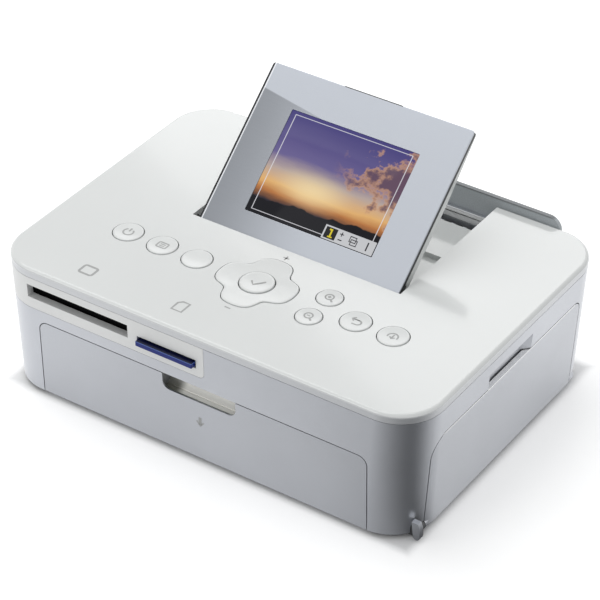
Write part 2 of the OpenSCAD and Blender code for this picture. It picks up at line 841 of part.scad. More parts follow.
module lcd_back_cover() {
    hw = screen_w / 2 - 0.5;
    shell = 1.2;
    color("#e4e6e6")
    tilted()
    difference() {
        along_x(-hw, hw)
            polygon([[plate_y0 + 0.9, frame_z0], [plate_y0 + 0.9, -2.4], [1.8, -screen_back], [36, -screen_back],
                [screen_l - 0.5, frame_z0 - 1], [screen_l - 0.5, frame_z0]]);
        along_x(-hw + shell, hw - shell)
            polygon([[2.5, frame_z0 + 1], [2.5, -screen_back + shell], [35, -screen_back + shell],
                [52, -1.2], [52, frame_z0 + 1]]);
        for (s = [-1, 1])
            box(s > 0 ? hw - lug_w - 0.1 : -hw - 1, s > 0 ? hw + 1 : -hw + lug_w + 0.1, plate_y0 - 1, 3.9, -1.6, frame_z0 + 1);
    }
}

// ---------- keys ----------

// a round key: its cap, the flange that keeps it in, and the stem above its switch
module round_key(x, y, r) {
    flange_z = under_z - 1;
    translate([x, y, 0])
        rotate_extrude()
            polygon([
                [0, stem_z], [2.2, stem_z], [2.2, flange_z], [r + 0.9, flange_z], [r + 0.9, flange_z + 0.7],
                [r, flange_z + 0.7], [r, top_z + key_rise - 0.35], [r - 0.3, top_z + key_rise],
                [r * 0.55, top_z + key_rise - 0.25], [0, top_z + key_rise - 0.35],
            ]);
}

module power_button() { color("#eceeed") round_key(key_x[0], row_y, key_r); }
module menu_button() { color("#eceeed") round_key(key_x[1], row_y, key_r); }
module edit_button() { color("#eceeed") round_key(key_x[2], row_y, key_r); }
module back_button() { color("#eceeed") round_key(right_x[0], row_y, key_r); }
module print_button() { color("#eceeed") round_key(right_x[1], row_y, key_r); }
module zoom_in_button() { color("#eceeed") round_key(zoom_x, row_y + zoom_dy, zoom_r); }
module zoom_out_button() { color("#eceeed") round_key(zoom_x, row_y - zoom_dy, zoom_r); }

module nav_pad() {
    color("#eceeed")
    translate([pad_x, row_y, 0])
    difference() {
        union() {
            translate([0, 0, pad_under])
                linear_extrude(top_z + key_rise - pad_under)
                    lobed_outline(0);
            translate([0, 0, pad_under])
                linear_extrude(under_z - pad_under - pad_tilt_drop)
                    lobed_outline(0.8);
        }
        translate([0, 0, pad_under - 1])
            cylinder(r = ok_r + 0.4, h = cover_t + 6);
        translate([0, 0, pad_under - 1])
            cylinder(r = ok_r + 1.5, h = 1.6);
    }
}

module nav_pivot_ring() {
    color("#5b5d60")
    translate([pad_x, row_y, 0])
    difference() {
        translate([0, 0, ring_z])
            cylinder(r = 10.4, h = 0.7);
        translate([0, 0, ring_z - 1])
            cylinder(r = 8, h = 3);
    }
}

module ok_button() {
    flange_z = pad_under - 0.15;
    color("#eceeed")
    translate([pad_x, row_y, 0])
        rotate_extrude()
            polygon([
                [0, stem_z], [2.2, stem_z], [2.2, flange_z], [ok_r + 1, flange_z], [ok_r + 1, flange_z + 0.35],
                [ok_r, flange_z + 0.35], [ok_r, top_z + key_rise - 0.2], [ok_r - 0.3, top_z + key_rise + 0.1],
                [ok_r * 0.55, top_z + key_rise - 0.15], [0, top_z + key_rise - 0.25],
            ]);
}

// ---------- boards and cards ----------

board_x0 = key_x[0] - 9.3;
board_x1 = right_x[1] + 8.35;
board_y0 = row_y - 18.1;
board_y1 = recess_y - well_wall - 0.6;
hanger_in = 2.4;
hanger_places = [[board_x0 + 2, row_y - 11.6], [board_x1 - hanger_in, row_y - 11.6],
    [board_x0 + hanger_in, board_y1 - 4.7], [board_x1 - hanger_in, board_y1 - 4.7], [pad_x + 15.8, row_y - 15.6]];

module button_board() {
    color("#2f6b45")
    difference() {
        union() {
            box(board_x0, board_x1, board_y0, board_y1, key_board_z, key_board_z + board_t);
            // pillars that hang the board from the top cover
            for (p = hanger_places)
                translate([p[0], p[1], key_board_z])
                    cylinder(r = 1.7, h = under_z - key_board_z);
        }
        for (p = hanger_places)
            translate([p[0], p[1], key_board_z - 1])
                cylinder(r = 0.8, h = 3);
    }
}

switch_places = concat(
    [for (x = key_x) [x, row_y]], [for (x = right_x) [x, row_y]],
    [for (s = [-1, 1]) [zoom_x, row_y + s * zoom_dy]], [[pad_x, row_y]],
    [for (a = [0 : 90 : 270]) [pad_x + pad_switch_r * cos(a), row_y + pad_switch_r * sin(a)]]
);

module tact_switches() {
    color("#3d3f43")
    for (i = [0 : len(switch_places) - 1]) {
        p = switch_places[i];
        half = i < 8 ? 2.9 : 1.9;
        translate([p[0], p[1], key_board_z + board_t]) {
            box(-half, half, -half, half, 0, switch_h);
            translate([0, 0, switch_h - 0.1])
                cylinder(r = 1.2, h = 0.4);
        }
    }
}

module main_board() {
    color("#2c6a47")
    difference() {
        intersection() {
            box(main_x0, main_x1, main_y0, main_y1, main_board_z, main_top);
            case_block(main_board_z - 1, main_top + 1, wall + 1.6);
        }
        for (p = board_posts)
            translate([p[0], p[1], main_board_z - 1])
                cylinder(r = board_screw_r + 0.2, h = 4);
    }
}

module board_screws() {
    color("#8f9296")
    for (p = board_posts)
        translate([p[0], p[1], main_board_z - 4]) {
            cylinder(r = board_screw_r, h = 5);
            translate([0, 0, 4 + main_board_t])
                cylinder(r = 1.8, h = 1.2);
            cylinder(r = board_screw_r, h = 4 + main_board_t);
        }
}

module board_chips() {
    color("#2a2b2e") {
        box(main_x1 - 44, main_x1 - 30, main_y0 + 23.5, main_y0 + 37.5, main_top, main_top + 1.4);
        box(main_x1 - 24, main_x1 - 12, main_y0 + 27.5, main_y0 + 37.5, main_top, main_top + 1.2);
        box(main_x1 - 54, main_x1 - 46, main_y0 + 5.5, main_y0 + 13.5, main_top, main_top + 1.2);
        for (i = [0 : 3])
            translate([main_x1 - 40 + i * 9, main_y0 + 9.5, main_top])
                cylinder(r = 3, h = 5.5);
        box(card_x - 1.6, card_x + 6.4, main_y0 + 28, main_y0 + 36, main_top, main_top + 2.4);
    }
}

connector_y = front_y + 4.9;
wide_depth_y = front_y + 32.5;

module cf_connector() {
    w = wide_slot_w / 2 + 1.6;
    h = wide_slot_h / 2;
    color("#3a3b3e")
    difference() {
        box(wide_slot_x - w, wide_slot_x + w, connector_y, wide_depth_y + 7, main_top, wide_slot_z + h + 0.6);
        box(wide_slot_x - w + 1.8, wide_slot_x + w - 1.8, connector_y - 1, wide_depth_y,
            wide_slot_z - h + 0.5, wide_slot_z + h - 0.4);
    }
    color("#c9a85a")
    for (i = [0 : 11])
        box(wide_slot_x - 16.9 + i * 3, wide_slot_x - 16.1 + i * 3, wide_depth_y - 4.6, wide_depth_y,
            wide_slot_z - 0.4, wide_slot_z + 0.4);
}

module sd_connector() {
    w = card_w / 2 + 0.2;
    color("#b4b8bd")
    difference() {
        box(card_x - w - 1.4, card_x + w + 1.4, connector_y, card_front + card_l - 1, main_top, card_z + card_t / 2 + 0.8);
        box(card_x - w, card_x + w, connector_y - 1, card_front + card_l + 1,
            card_z - card_t / 2 - 0.05, card_z + card_t / 2 + 0.15);
    }
}

module memory_card() {
    color("#1c2d6b")
    translate([card_x, card_front, card_z - card_t / 2])
        linear_extrude(card_t)
            polygon([[-card_w / 2, 0], [card_w / 2, 0], [card_w / 2, card_l], [-card_w / 2 + 3.5, card_l],
                [-card_w / 2, card_l - 3.5]]);
}

jack_x = engine_x - 46;
usb_b_x = engine_x - 31;
usb_a_x = engine_x - 13;
io_port_z = 33.6;
io_board_z = beam_z + plate_steel;
io_board_t = 1.6;
io_top = io_board_z + io_board_t;

module io_board() {
    color("#2c6a47")
        box(jack_x - 6, usb_a_x + 9, rear_y - wall - 13, rear_y - wall - 0.4, io_board_z, io_top);
}

module dc_jack() {
    color("#2a2b2d")
    difference() {
        union() {
            box(jack_x - 4.8, jack_x + 4.8, rear_y - wall - 11, rear_y - wall, io_top, io_port_z + 4.8);
            rod_y(4, rear_y - wall, rear_y + panel_t, jack_x, io_port_z);
        }
        rod_y(2.8, rear_y - 8, rear_y + panel_t + 1, jack_x, io_port_z);
    }
    color("#c9a85a")
        rod_y(0.9, rear_y - 8.5, rear_y, jack_x, io_port_z);
}

module usb_device_port() {
    color("#b9bdc2")
    difference() {
        box(usb_b_x - 6, usb_b_x + 6, rear_y - wall - 11.5, rear_y - wall, io_top, io_port_z + 5);
        box(usb_b_x - 4, usb_b_x + 4, rear_y - wall - 8, rear_y, io_port_z - 3.8, io_port_z + 3.8);
    }
    color("#e8e8e6")
        box(usb_b_x - 2.8, usb_b_x + 2.8, rear_y - wall - 8.5, rear_y - wall - 1, io_port_z - 1.6, io_port_z + 1.6);
}

module usb_host_port() {
    color("#b9bdc2")
    difference() {
        box(usb_a_x - 7.4, usb_a_x + 7.4, rear_y - wall - 11.5, rear_y - wall, io_top, io_port_z + 3.7);
        box(usb_a_x - 6.6, usb_a_x + 6.6, rear_y - wall - 10, rear_y, io_port_z - 2.9, io_port_z + 2.9);
    }
    color("#e8e8e6")
        box(usb_a_x - 5.8, usb_a_x + 5.8, rear_y - wall - 10.5, rear_y - wall - 1, io_port_z - 1.8, io_port_z - 0.2);
}

// ---------- print engine ----------

roller_axes = [[platen_y, platen_z], [drive_y, drive_z], [drive_y, pinch_z], [feed_y, feed_z]];

module engine_chassis() {
    color("#9da2a7")
    difference() {
        union() {
            box(plate_x0, plate_x1 + plate_steel, platen_y - 17, engine_y1, base_top, base_top + plate_steel);
            for (x = [plate_x0, plate_x1])
                box(x, x + plate_steel, engine_y0, engine_y1, base_top, plate_top);
            // front cross rail and rear beam
            box(plate_x0, plate_x1 + plate_steel, engine_y0 + 16, engine_y0 + 22, plate_top - plate_steel, plate_top);
            box(plate_x0, plate_x1 + plate_steel, rear_y - 14, rear_y - 4, beam_z, beam_z + plate_steel);
            // rails that the ink cassette's inner end rests on
            for (y = [supply_y, take_up_y])
                box(plate_x0, plate_x0 + 6, y - 6, y + 6, spool_z - tube_r - plate_steel, spool_z - tube_r);
            // ears around the head arm's pivot
            for (x = [plate_x0, plate_x1])
                box(x, x + plate_steel, head_pivot_y - 4, head_pivot_y + 4, plate_top - 2, head_pivot_z + 3);
            // arms that carry the gears and their motor plate
            for (p = stud_places)
                rod_x(1.5, gear_x0 - 1.6, plate_x0, p[0], p[1]);
            // post for the cassette latch
            rod_x(1.6, plate_x1, cassette_x1 + 2.2, latch_y, latch_z);
            // pivot pegs for the head arm
            for (x = [plate_x0, plate_x1 - 3])
                rod_x(1.5, x, x + 3 + plate_steel, head_pivot_y, head_pivot_z);
        }
        // opening that the ink cassette slides through
        along_x(plate_x1 - 1, plate_x1 + plate_steel + 1)
            cassette_profile(0.6, true);
        for (a = roller_axes)
            rod_x(bush_r, plate_x0 - 1, plate_x1 + plate_steel + 1, a[0], a[1]);
        // room for the platen roller in the floor
        box(inner_x0 - 1, inner_x1 + 1, platen_y - platen_r - 0.6, platen_y + platen_r + 0.6, base_top - 1, base_top + 2);
    }
}

module shaft_bushings() {
    color("#b08d57")
    for (a = roller_axes, x = [plate_x0 - 0.6, plate_x1 - 0.6])
        difference() {
            union() {
                rod_x(bush_r, x, x + bush_t, a[0], a[1]);
                rod_x(bush_r + 0.7, x + (x < 0 ? 1.8 : 0), x + (x < 0 ? bush_t : 0.6), a[0], a[1]);
            }
            rod_x(shaft_d / 2 + running, x - 1, x + bush_t + 1, a[0], a[1]);
        }
}

module roller(r, y, z, x_end = 0) {
    rod_x(shaft_d / 2, plate_x0 - 0.4 - x_end, plate_x1 + plate_steel + 0.4, y, z);
    rod_x(r, inner_x0, inner_x1, y, z);
}

module platen_roller() {
    color("#303234")
        roller(platen_r, platen_y, platen_z);
}

module drive_roller() {
    color("#aeb2b6")
        roller(drive_r, drive_y, drive_z, 6);
}

module pinch_roller() {
    color("#4a4c50")
        roller(pinch_r, drive_y, pinch_z);
}

module feed_roller() {
    color("#3b3d3f") {
        rod_x(shaft_d / 2, plate_x0 - 6.4, plate_x1 + plate_steel + 0.4, feed_y, feed_z);
        rod_x(3.6, inner_x0, inner_x1, feed_y, feed_z);
        for (x = [-30, 0, 30])
            rod_x(feed_r, engine_x + x - 8, engine_x + x + 8, feed_y, feed_z);
    }
}

// gear outline: flanks are involutes, thinned a little for play
function involute(rb, t) = [rb * (cos(t) + t * PI / 180 * sin(t)), rb * (sin(t) - t * PI / 180 * cos(t))];
function turned(p, a) = [p[0] * cos(a) - p[1] * sin(a), p[0] * sin(a) + p[1] * cos(a)];
function flank_t(rb, r) = sqrt(max(0, r * r / (rb * rb) - 1)) * 180 / PI;

module gear_outline(n, turn) {
    rp = pitch_r(n);
    rb = rp * cos(20);
    ra = rp + 0.95 * gear_m;
    rf = rp - 1.25 * gear_m;
    r0 = max(rb, rf);
    pitch_point = involute(rb, flank_t(rb, rp));
    pitch_angle = atan2(pitch_point[1], pitch_point[0]);
    half = 90 / n * 0.92 + pitch_angle;
    steps = [0, 0.35, 0.7, 1];
    points = [for (k = [0 : n - 1]) let (a = turn + k * 360 / n)
        each concat(
            [turned([rf, 0], a - half)],
            [for (s = steps) turned(involute(rb, flank_t(rb, r0 + s * (ra - r0))), a - half)],
            [for (i = [3 : -1 : 0]) let (p = involute(rb, flank_t(rb, r0 + steps[i] * (ra - r0)))) turned([p[0], -p[1]], a + half)],
            [turned([rf, 0], a + half)]
        )];
    polygon(points);
}

module gear(n, turn, y, z, bore_r, hub_r = 0) {
    difference() {
        union() {
            translate([0, y, z])
                along_x(gear_x0, gear_x0 + gear_w)
                    gear_outline(n, turn);
            if (hub_r > 0)
                rod_x(hub_r, gear_x0, plate_x0 - 0.8, y, z);
        }
        rod_x(bore_r, gear_x0 - 2, plate_x0 + 2, y, z);
    }
}

module motor_pinion() {
    color("#b9975b")
        gear(pinion_n, pinion_turn, motor_y, motor_z, 1);
    color("#8f9296")
        rod_x(1, motor_x1 - 3, gear_x0 + gear_w + 0.5, motor_y, motor_z);
}

module drive_gear() {
    color("#e7e4da")
        gear(drive_n, drive_turn, drive_y, drive_z, shaft_d / 2);
}

module idler_gear() {
    color("#e7e4da")
        gear(idler_n, idler_turn, idler_y, idler_z, 1.5 + running, 3);
}

module reversing_gear() {
    color("#e7e4da")
        gear(reverse_n, reverse_turn, reverse_y, reverse_z, 1.5 + running, 3);
}

module feed_gear() {
    color("#e7e4da")
        gear(feed_n, feed_turn, feed_y, feed_z, shaft_d / 2);
}

module drive_motor() {
    color("#5e6266")
    difference() {
        union() {
            rod_x(motor_r, motor_x1 - 13, motor_x1, motor_y, motor_z);
            box(motor_x1 - 12, motor_x1 - 3, motor_y - 6, motor_y + 6, motor_z - motor_r - 1.6, motor_z - motor_r + 3);
        }
        rod_x(1.4, motor_x1 - 4, motor_x1 + 1, motor_y, motor_z);
    }
}

module motor_plate() {
    color("#9da2a7")
    difference() {
        union() {
            box(motor_x1, motor_x1 + plate_steel, reverse_y - 4, motor_y + 15, base_top, motor_z + 15);
            box(motor_x1 - 9, motor_x1 + plate_steel, motor_y - 20, motor_y + 14, base_top, base_top + plate_steel);
        }
        rod_x(1.6, motor_x1 - 1, motor_x1 + plate_steel + 1, motor_y, motor_z);
        for (p = stud_places)
            rod_x(1.5, motor_x1 - 1, motor_x1 + plate_steel + 1, p[0], p[1]);
    }
}

// ---------- print head ----------

module head_arm() {
    x0 = plate_x0 + plate_steel + 0.8;
    x1 = plate_x1 - 0.8;
    color("#aab0b5")
    difference() {
        union() {
            box(x0, x1, head_y - 5, head_pivot_y, head_arm_z, head_arm_z + 1.5);
            for (x = [x0, x1 - 4]) {
                rod_x(2.8, x, x + 4, head_pivot_y, head_pivot_z);
                box(x, x + 4, head_pivot_y - 3.4, head_pivot_y, head_pivot_z, head_arm_z + 1.5);
            }
        }
        rod_x(1.5 + running, plate_x0, plate_x1 + 2, head_pivot_y, head_pivot_z);
    }
}

module heat_sink() {
    x0 = plate_x0 + plate_steel + head_end;
    x1 = plate_x1 - head_end;
    color("#b6babf")
    difference() {
        box(x0, x1, head_y - 4.5, head_y + 4.5, head_bottom + 1.4, head_arm_z);
        for (s = [-1, 1], i = [0 : 3])
            box(x0 - 1, x1 + 1, head_y + (s > 0 ? 1.4 : -6), head_y + (s > 0 ? 6 : -1.4),
                head_bottom + 5 + i * 3.6, head_bottom + 7 + i * 3.6);
    }
}

module thermal_head() {
    x0 = plate_x0 + plate_steel + head_end;
    x1 = plate_x1 - head_end;
    color("#e9e6df")
        box(x0, x1, head_y - 4.5, head_y + 4.5, head_bottom + 0.2, head_bottom + 1.4);
    color("#8a6a4a")
        box(x0 + 2, x1 - 2, head_y - 0.7, head_y + 0.7, head_bottom, head_bottom + 0.3);
}

// ---------- ink cassette ----------

module cassette_profile(grow, open_between) {
    r = tube_r + grow;
    for (y = [supply_y, take_up_y])
        translate([y, spool_z])
            circle(r);
    if (open_between)
        translate([supply_y, spool_z - r])
            square([take_up_y - supply_y, 2 * r - 3]);
}

module ink_cassette() {
    inner = tube_r - tube_wall;
    color("#e0dfd8")
    difference() {
        union() {
            along_x(cassette_x0, cassette_x1)
                cassette_profile(0, false);
            // end walls join the two tubes
            along_x(cassette_x0, cassette_x0 + cassette_end_t)
                cassette_profile(0, true);
            along_x(grip_x0, cassette_x1)
                cassette_profile(0, true);
        }
        for (y = [supply_y, take_up_y]) {
            rod_x(inner, cassette_x0 + cassette_end_t, grip_x0, y, spool_z);
            rod_x(spool_r + running, cassette_x0 - 1, grip_x0 + 4, y, spool_z);
        }
        // slots that the ribbon leaves through
        box(cassette_x0 + 4, grip_x0 - 4, supply_y, supply_y + 12, spool_z - 6.6, spool_z - 4.4);
        box(cassette_x0 + 4, grip_x0 - 4, take_up_y - 12, take_up_y, spool_z - 6.6, spool_z - 4.4);
        // finger grip in the outer end
        box(grip_x0 + 6, cassette_x1 + 1, supply_y + 8, take_up_y - 8, spool_z - 4, spool_z + 20);
    }
}

module spool(y) {
    rod_x(spool_r, spool_x0, spool_x1, y, spool_z);
    rod_x(core_r, cassette_x0 + cassette_end_t + 0.5, grip_x0 - 0.5, y, spool_z);
    for (x = [cassette_x0 + cassette_end_t + 0.5, grip_x0 - 2])
        rod_x(tube_r - tube_wall - 0.7, x, x + 1.5, y, spool_z);
}

module supply_spool() { color("#f0efe9") spool(supply_y); }
module take_up_spool() { color("#f0efe9") spool(take_up_y); }

module ribbon_roll(y, r) {
    difference() {
        rod_x(r, cassette_x0 + cassette_end_t + 2.4, grip_x0 - 2.4, y, spool_z);
        rod_x(core_r, cassette_x0, cassette_x1, y, spool_z);
    }
}

module supply_ribbon() { color("#d8a33a") ribbon_roll(supply_y, 6.4); }
module take_up_ribbon() { color("#7a2f4e") ribbon_roll(take_up_y, 4.4); }

module cassette_latch() {
    x0 = cassette_x1 + 0.4;
    color("#e07b2a")
    difference() {
        union() {
            rod_x(3.2, x0, x0 + 1.6, latch_y, latch_z);
            box(x0, x0 + 1.6, latch_y - 9, latch_y, latch_z - 2, latch_z + 2);
            box(x0, x0 + 1.6, latch_y - 1.6, latch_y + 1.6, latch_z, latch_z + 9);
        }
        rod_x(1.6 + running, x0 - 1, x0 + 3, latch_y, latch_z);
    }
}

// ---------- the model ----------

top_cover();
side_casing();
base_tray();
lcd_well();
card_bezel();
rear_panel();
rubber_feet();
case_screws();
front_door();
ink_door();
ink_door_pins();
lcd_front_plate();
lcd_window();
lcd_panel();
lcd_frame();
lcd_back_cover();
power_button();
menu_button();
edit_button();
back_button();
print_button();
zoom_in_button();
zoom_out_button();
nav_pad();
nav_pivot_ring();
ok_button();
button_board();
tact_switches();
main_board();
board_screws();
board_chips();
cf_connector();
sd_connector();
memory_card();
io_board();
dc_jack();
usb_device_port();
usb_host_port();
engine_chassis();
shaft_bushings();
platen_roller();
drive_roller();
pinch_roller();
feed_roller();
drive_motor();
motor_plate();
motor_pinion();
drive_gear();
idler_gear();
reversing_gear();
feed_gear();
head_arm();
heat_sink();
thermal_head();
ink_cassette();
supply_spool();
take_up_spool();
supply_ribbon();
take_up_ribbon();
cassette_latch();
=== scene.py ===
"""Builds the finished look of a compact photo printer over its solid model."""

import json
import math

import bmesh
import bpy
from mathutils import Matrix, Quaternion, Vector


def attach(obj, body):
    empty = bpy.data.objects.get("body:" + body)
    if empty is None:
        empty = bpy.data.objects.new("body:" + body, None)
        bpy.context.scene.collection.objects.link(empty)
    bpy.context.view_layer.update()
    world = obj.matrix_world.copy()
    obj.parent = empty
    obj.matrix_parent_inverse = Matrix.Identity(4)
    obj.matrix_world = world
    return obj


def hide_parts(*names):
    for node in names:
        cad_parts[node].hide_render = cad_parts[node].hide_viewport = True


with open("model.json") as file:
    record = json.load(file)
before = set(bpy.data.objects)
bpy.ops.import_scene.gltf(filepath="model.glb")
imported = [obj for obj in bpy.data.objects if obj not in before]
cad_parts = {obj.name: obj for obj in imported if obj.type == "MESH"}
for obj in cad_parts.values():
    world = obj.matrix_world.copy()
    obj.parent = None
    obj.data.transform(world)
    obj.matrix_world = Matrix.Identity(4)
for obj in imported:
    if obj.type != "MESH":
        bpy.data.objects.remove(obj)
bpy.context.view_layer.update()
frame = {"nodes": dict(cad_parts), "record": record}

bl_info = {
    "name": "Compact photo printer",
    "version": (1, 0, 0),
    "blender": (4, 5, 0),
    "location": "View3D > Sidebar > Printer",
    "description": "Dresses the solid model of a compact photo printer",
    "category": "Object",
}

MM = 0.001
MICRON = 0.000001
SLOT_OF = {entry["node"]: entry["material_slot"] for entry in frame["record"]["subparts"]}
BODY_OF = {
    node: body
    for body, members in frame["record"]["behaviour"]["bodies"].items()
    for node in members
}

# positions on the printer, in millimetres
TOP_Z = 55.0
ROW_Y = -25.4
PAD_X = -0.6
KEY_TOP = 55.3
SMALL_KEYS = {
    "power_button": (-56.7, ROW_Y, 5.6),
    "menu_button": (-41.55, ROW_Y, 5.6),
    "edit_button": (-26.4, ROW_Y, 5.6),
    "back_button": (40.5, ROW_Y, 5.6),
    "print_button": (55.65, ROW_Y, 5.6),
    "zoom_in_button": (25.5, ROW_Y + 6.55, 4.75),
    "zoom_out_button": (25.5, ROW_Y - 6.55, 4.75),
}
OK_RADIUS = 6.3
OK_TOP = KEY_TOP + 0.1
PAD_RADIUS = 15.5
REAR_WALL = 55.0

# the front face at the top's height, and how far it leans in for each millimetre down
FRONT_Y = -63.5
FRONT_LEAN = 0.02

# how far printed ink stands over the cover, and over keys and doors
COVER_INK = 0.015
INK = 0.02

# the screen unit turns about this line
HINGE = Vector((0.4, -0.14, 52.4))
SCREEN_TILT = math.radians(40.7)
SCREEN_W = 85.3
SCREEN_L = 63.14
FACE_Z = 2.6
WINDOW = (-27.1, 8.1, 54.2, 40.6)

# the camera, in metres
CAMERA_PLACE = (0.4369, -0.6449, 0.5909)
CAMERA_AIM = (0.00015, 0.00020, 0.03274)


# ---------- what a user can change ----------


def rgb(value, name, note):
    """A colour setting with its default."""
    return bpy.props.FloatVectorProperty(
        name=name, description=note, subtype="COLOR", size=3, min=0.0, max=1.0, default=value
    )


def length(value, name, note, top):
    """A length setting in metres, from its default and its top in millimetres."""
    return bpy.props.FloatProperty(
        name=name,
        description=note,
        subtype="DISTANCE",
        unit="LENGTH",
        min=0.0,
        max=top * MM,
        default=value * MM,
    )


def level(value, name, note, unit="NONE"):
    """A number setting with its default."""
    return bpy.props.FloatProperty(name=name, description=note, unit=unit, default=value)


class PrinterColours(bpy.types.PropertyGroup):
    """Colours of the printer's finishes."""

    cover: rgb((0.715, 0.73, 0.722), "Cover", "Gloss white of the top cover and keys")
    casing: rgb((0.52, 0.535, 0.57), "Casing", "Satin silver paint of the sides and doors")
    rear: rgb((0.43, 0.46, 0.48), "Rear panel", "Grey of the rear panel")
    plate: rgb((0.46, 0.485, 0.53), "Screen plate", "Satin silver of the screen's face plate")
    card: rgb((0.008, 0.022, 0.20), "Memory card", "Blue of the memory card")
    ink: rgb((0.34, 0.345, 0.34), "Printing", "Grey of the printed icons")
    board: rgb((0.02, 0.16, 0.075), "Circuit boards", "Green of the circuit boards")
    cassette: rgb((0.62, 0.62, 0.59), "Ink cassette", "Pale grey of the ink cassette")
    latch: rgb((0.72, 0.24, 0.03), "Latch", "Orange of the cassette latch")


class PrinterSizes(bpy.types.PropertyGroup):
    """Small sizes of the printer's finish."""

    edge: length(0.22, "Edge softness", "Radius of the moulded edges", 0.6)
    fine_edge: length(0.1, "Fine edge softness", "Radius of the edges of small pieces", 0.3)
    plate_corner: length(1.1, "Plate corner", "Corner radius of the screen's face plate", 3.0)
    stroke: length(0.58, "Icon stroke", "Width of the lines in the printed icons", 1.0)
    key_dish: length(0.2, "Key dish", "Depth of the hollow in each key", 0.35)


class PrinterStage(bpy.types.PropertyGroup):
    """Camera and light."""

    lens: level(159.9, "Lens", "Focal length of the camera", "CAMERA")
    key_power: level(4.8, "Key light", "Power of the main light", "POWER")
    fill_power: level(1.5, "Fill light", "Power of the fill light", "POWER")
    panel_power: level(1.9, "Panel light", "Power of the panel behind the printer", "POWER")
    sky: level(0.6, "Surround", "Strength of the surrounding light")


def colours():
    return bpy.context.scene.printer_colours


def sizes():
    return bpy.context.scene.printer_sizes


# ---------- shader maths ----------


class Wire:
    """One value in a finish's nodes. Arithmetic on it adds Math nodes."""

    def __init__(self, finish, socket):
        self.finish = finish
        self.socket = socket

    def _do(self, operation, *others):
        values = dict(enumerate((self, *others)))
        return self.finish.add("ShaderNodeMath", {"operation": operation}, values)

    def __add__(self, other):
        return self._do("ADD", other)

    def __radd__(self, other):
        return self._do("ADD", other)

    def __sub__(self, other):
        return self._do("SUBTRACT", other)

    def __rsub__(self, other):
        return (self * -1.0) + other

    def __mul__(self, other):
        return self._do("MULTIPLY", other)

    def __rmul__(self, other):
        return self._do("MULTIPLY", other)

    def __pow__(self, other):
        return self._do("POWER", other)

    def __abs__(self):
        return self._do("ABSOLUTE")

    def over(self, limit):
        return self._do("GREATER_THAN", limit)

    def under(self, limit):
        return self._do("LESS_THAN", limit)

    def most(self, other):
        return self._do("MAXIMUM", other)

    def bearing(self, east):
        """The angle of the point (east, self) about the origin."""
        return self._do("ARCTAN2", east)

    def part(self):
        """What stands behind the decimal point."""
        return self._do("FRACT")

    def step(self, low, high):
        """0 below low, 1 above high, smooth between."""
        settings = {"interpolation_type": "SMOOTHSTEP"}
        inputs = {"Value": self, "From Min": low, "From Max": high}
        return self.finish.add("ShaderNodeMapRange", settings, inputs)

    def span(self, low, high):
        """1 between low and high, else 0."""
        return self.over(low) * self.under(high)


class Finish:
    """A material with one Principled shader, and the nodes that feed it."""

    # places of the colour sockets on a Mix node
    FIRST, SECOND, MIXED = 6, 7, 2

    def __init__(self, name):
        self.material = bpy.data.materials.new(name)
        self.material.use_nodes = True
        self.tree = self.material.node_tree
        self.shader = self.tree.nodes["Principled BSDF"]

    def add(self, kind, settings=None, inputs=None, output=0):
        """Adds a node with its settings, its socket values or links, and gives one output."""
        node = self.tree.nodes.new(kind)
        for key, value in (settings or {}).items():
            if key == "stops":
                while len(node.color_ramp.elements) < len(value):
                    node.color_ramp.elements.new(0.5)
                for element, (position, colour) in zip(node.color_ramp.elements, value):
                    element.position = position
                    element.color = (*colour, 1.0)
            else:
                setattr(node, key, value)
        for key, value in (inputs or {}).items():
            self._feed(node.inputs[key], value)
        return Wire(self, node.outputs[output])

    def _feed(self, socket, value):
        if isinstance(value, Wire):
            self.tree.links.new(value.socket, socket)
        elif socket.type == "RGBA":
            socket.default_value = (*value, 1.0)
        else:
            socket.default_value = value

    def place(self):
        """The point on the printer, in metres."""
        return self.add("ShaderNodeTexCoord", output="Object")

    def axes(self, vector=None):
        """The three parts of a vector as separate values."""
        first = self.add("ShaderNodeSeparateXYZ", inputs={"Vector": vector or self.place()})
        node = first.socket.node
        return [Wire(self, node.outputs[n]) for n in range(3)]

    def vector(self, x, y, z):
        """A vector from three values."""
        return self.add("ShaderNodeCombineXYZ", inputs={"X": x, "Y": y, "Z": z})

    def stretch(self, factors, vector=None):
        """The point on the printer, or another vector, scaled along each axis."""
        inputs = {0: vector or self.place(), 1: factors}
        return self.add("ShaderNodeVectorMath", {"operation": "MULTIPLY"}, inputs)

    def noise(self, scale, detail=3.0, rough=0.5, vector=None):
        """Soft noise; the scale is about its lumps in each metre, or in each unit of the vector."""
        inputs = {"Vector": vector or self.place(), "Scale": scale, "Detail": detail, "Roughness": rough}
        return self.add("ShaderNodeTexNoise", inputs=inputs)

    def cells(self, scale):
        """How far the nearest of many scattered points is, in shares of their spacing."""
        return self.add("ShaderNodeTexVoronoi", inputs={"Vector": self.place(), "Scale": scale})

    def mix(self, factor, first, second):
        """A colour between two colours."""
        inputs = {"Factor": factor, self.FIRST: first, self.SECOND: second}
        return self.add("ShaderNodeMix", {"data_type": "RGBA"}, inputs, self.MIXED)

    def clouded(self, cloud, colour, darker, lighter):
        """Soft clouds of two tones of one colour."""
        return self.mix(cloud.step(0.3, 0.7), shade(colour, darker), shade(colour, lighter))

    def ramp(self, value, stops):
        """The colour at a value between (value, colour) stops."""
        return self.add("ShaderNodeValToRGB", {"stops": stops}, {"Fac": value})

    def relief(self, height, depth, strength):
        """A relief of some depth in microns from a height, as a normal for the shader."""
        inputs = {"Height": height, "Distance": depth * MICRON, "Strength": strength}
        return self.add("ShaderNodeBump", inputs=inputs)

    def set(self, **values):
        """Gives the shader its values and links; an underscore stands for a space."""
        for key, value in values.items():
            self._feed(self.shader.inputs[key.replace("_", " ")], value)
        return self.material


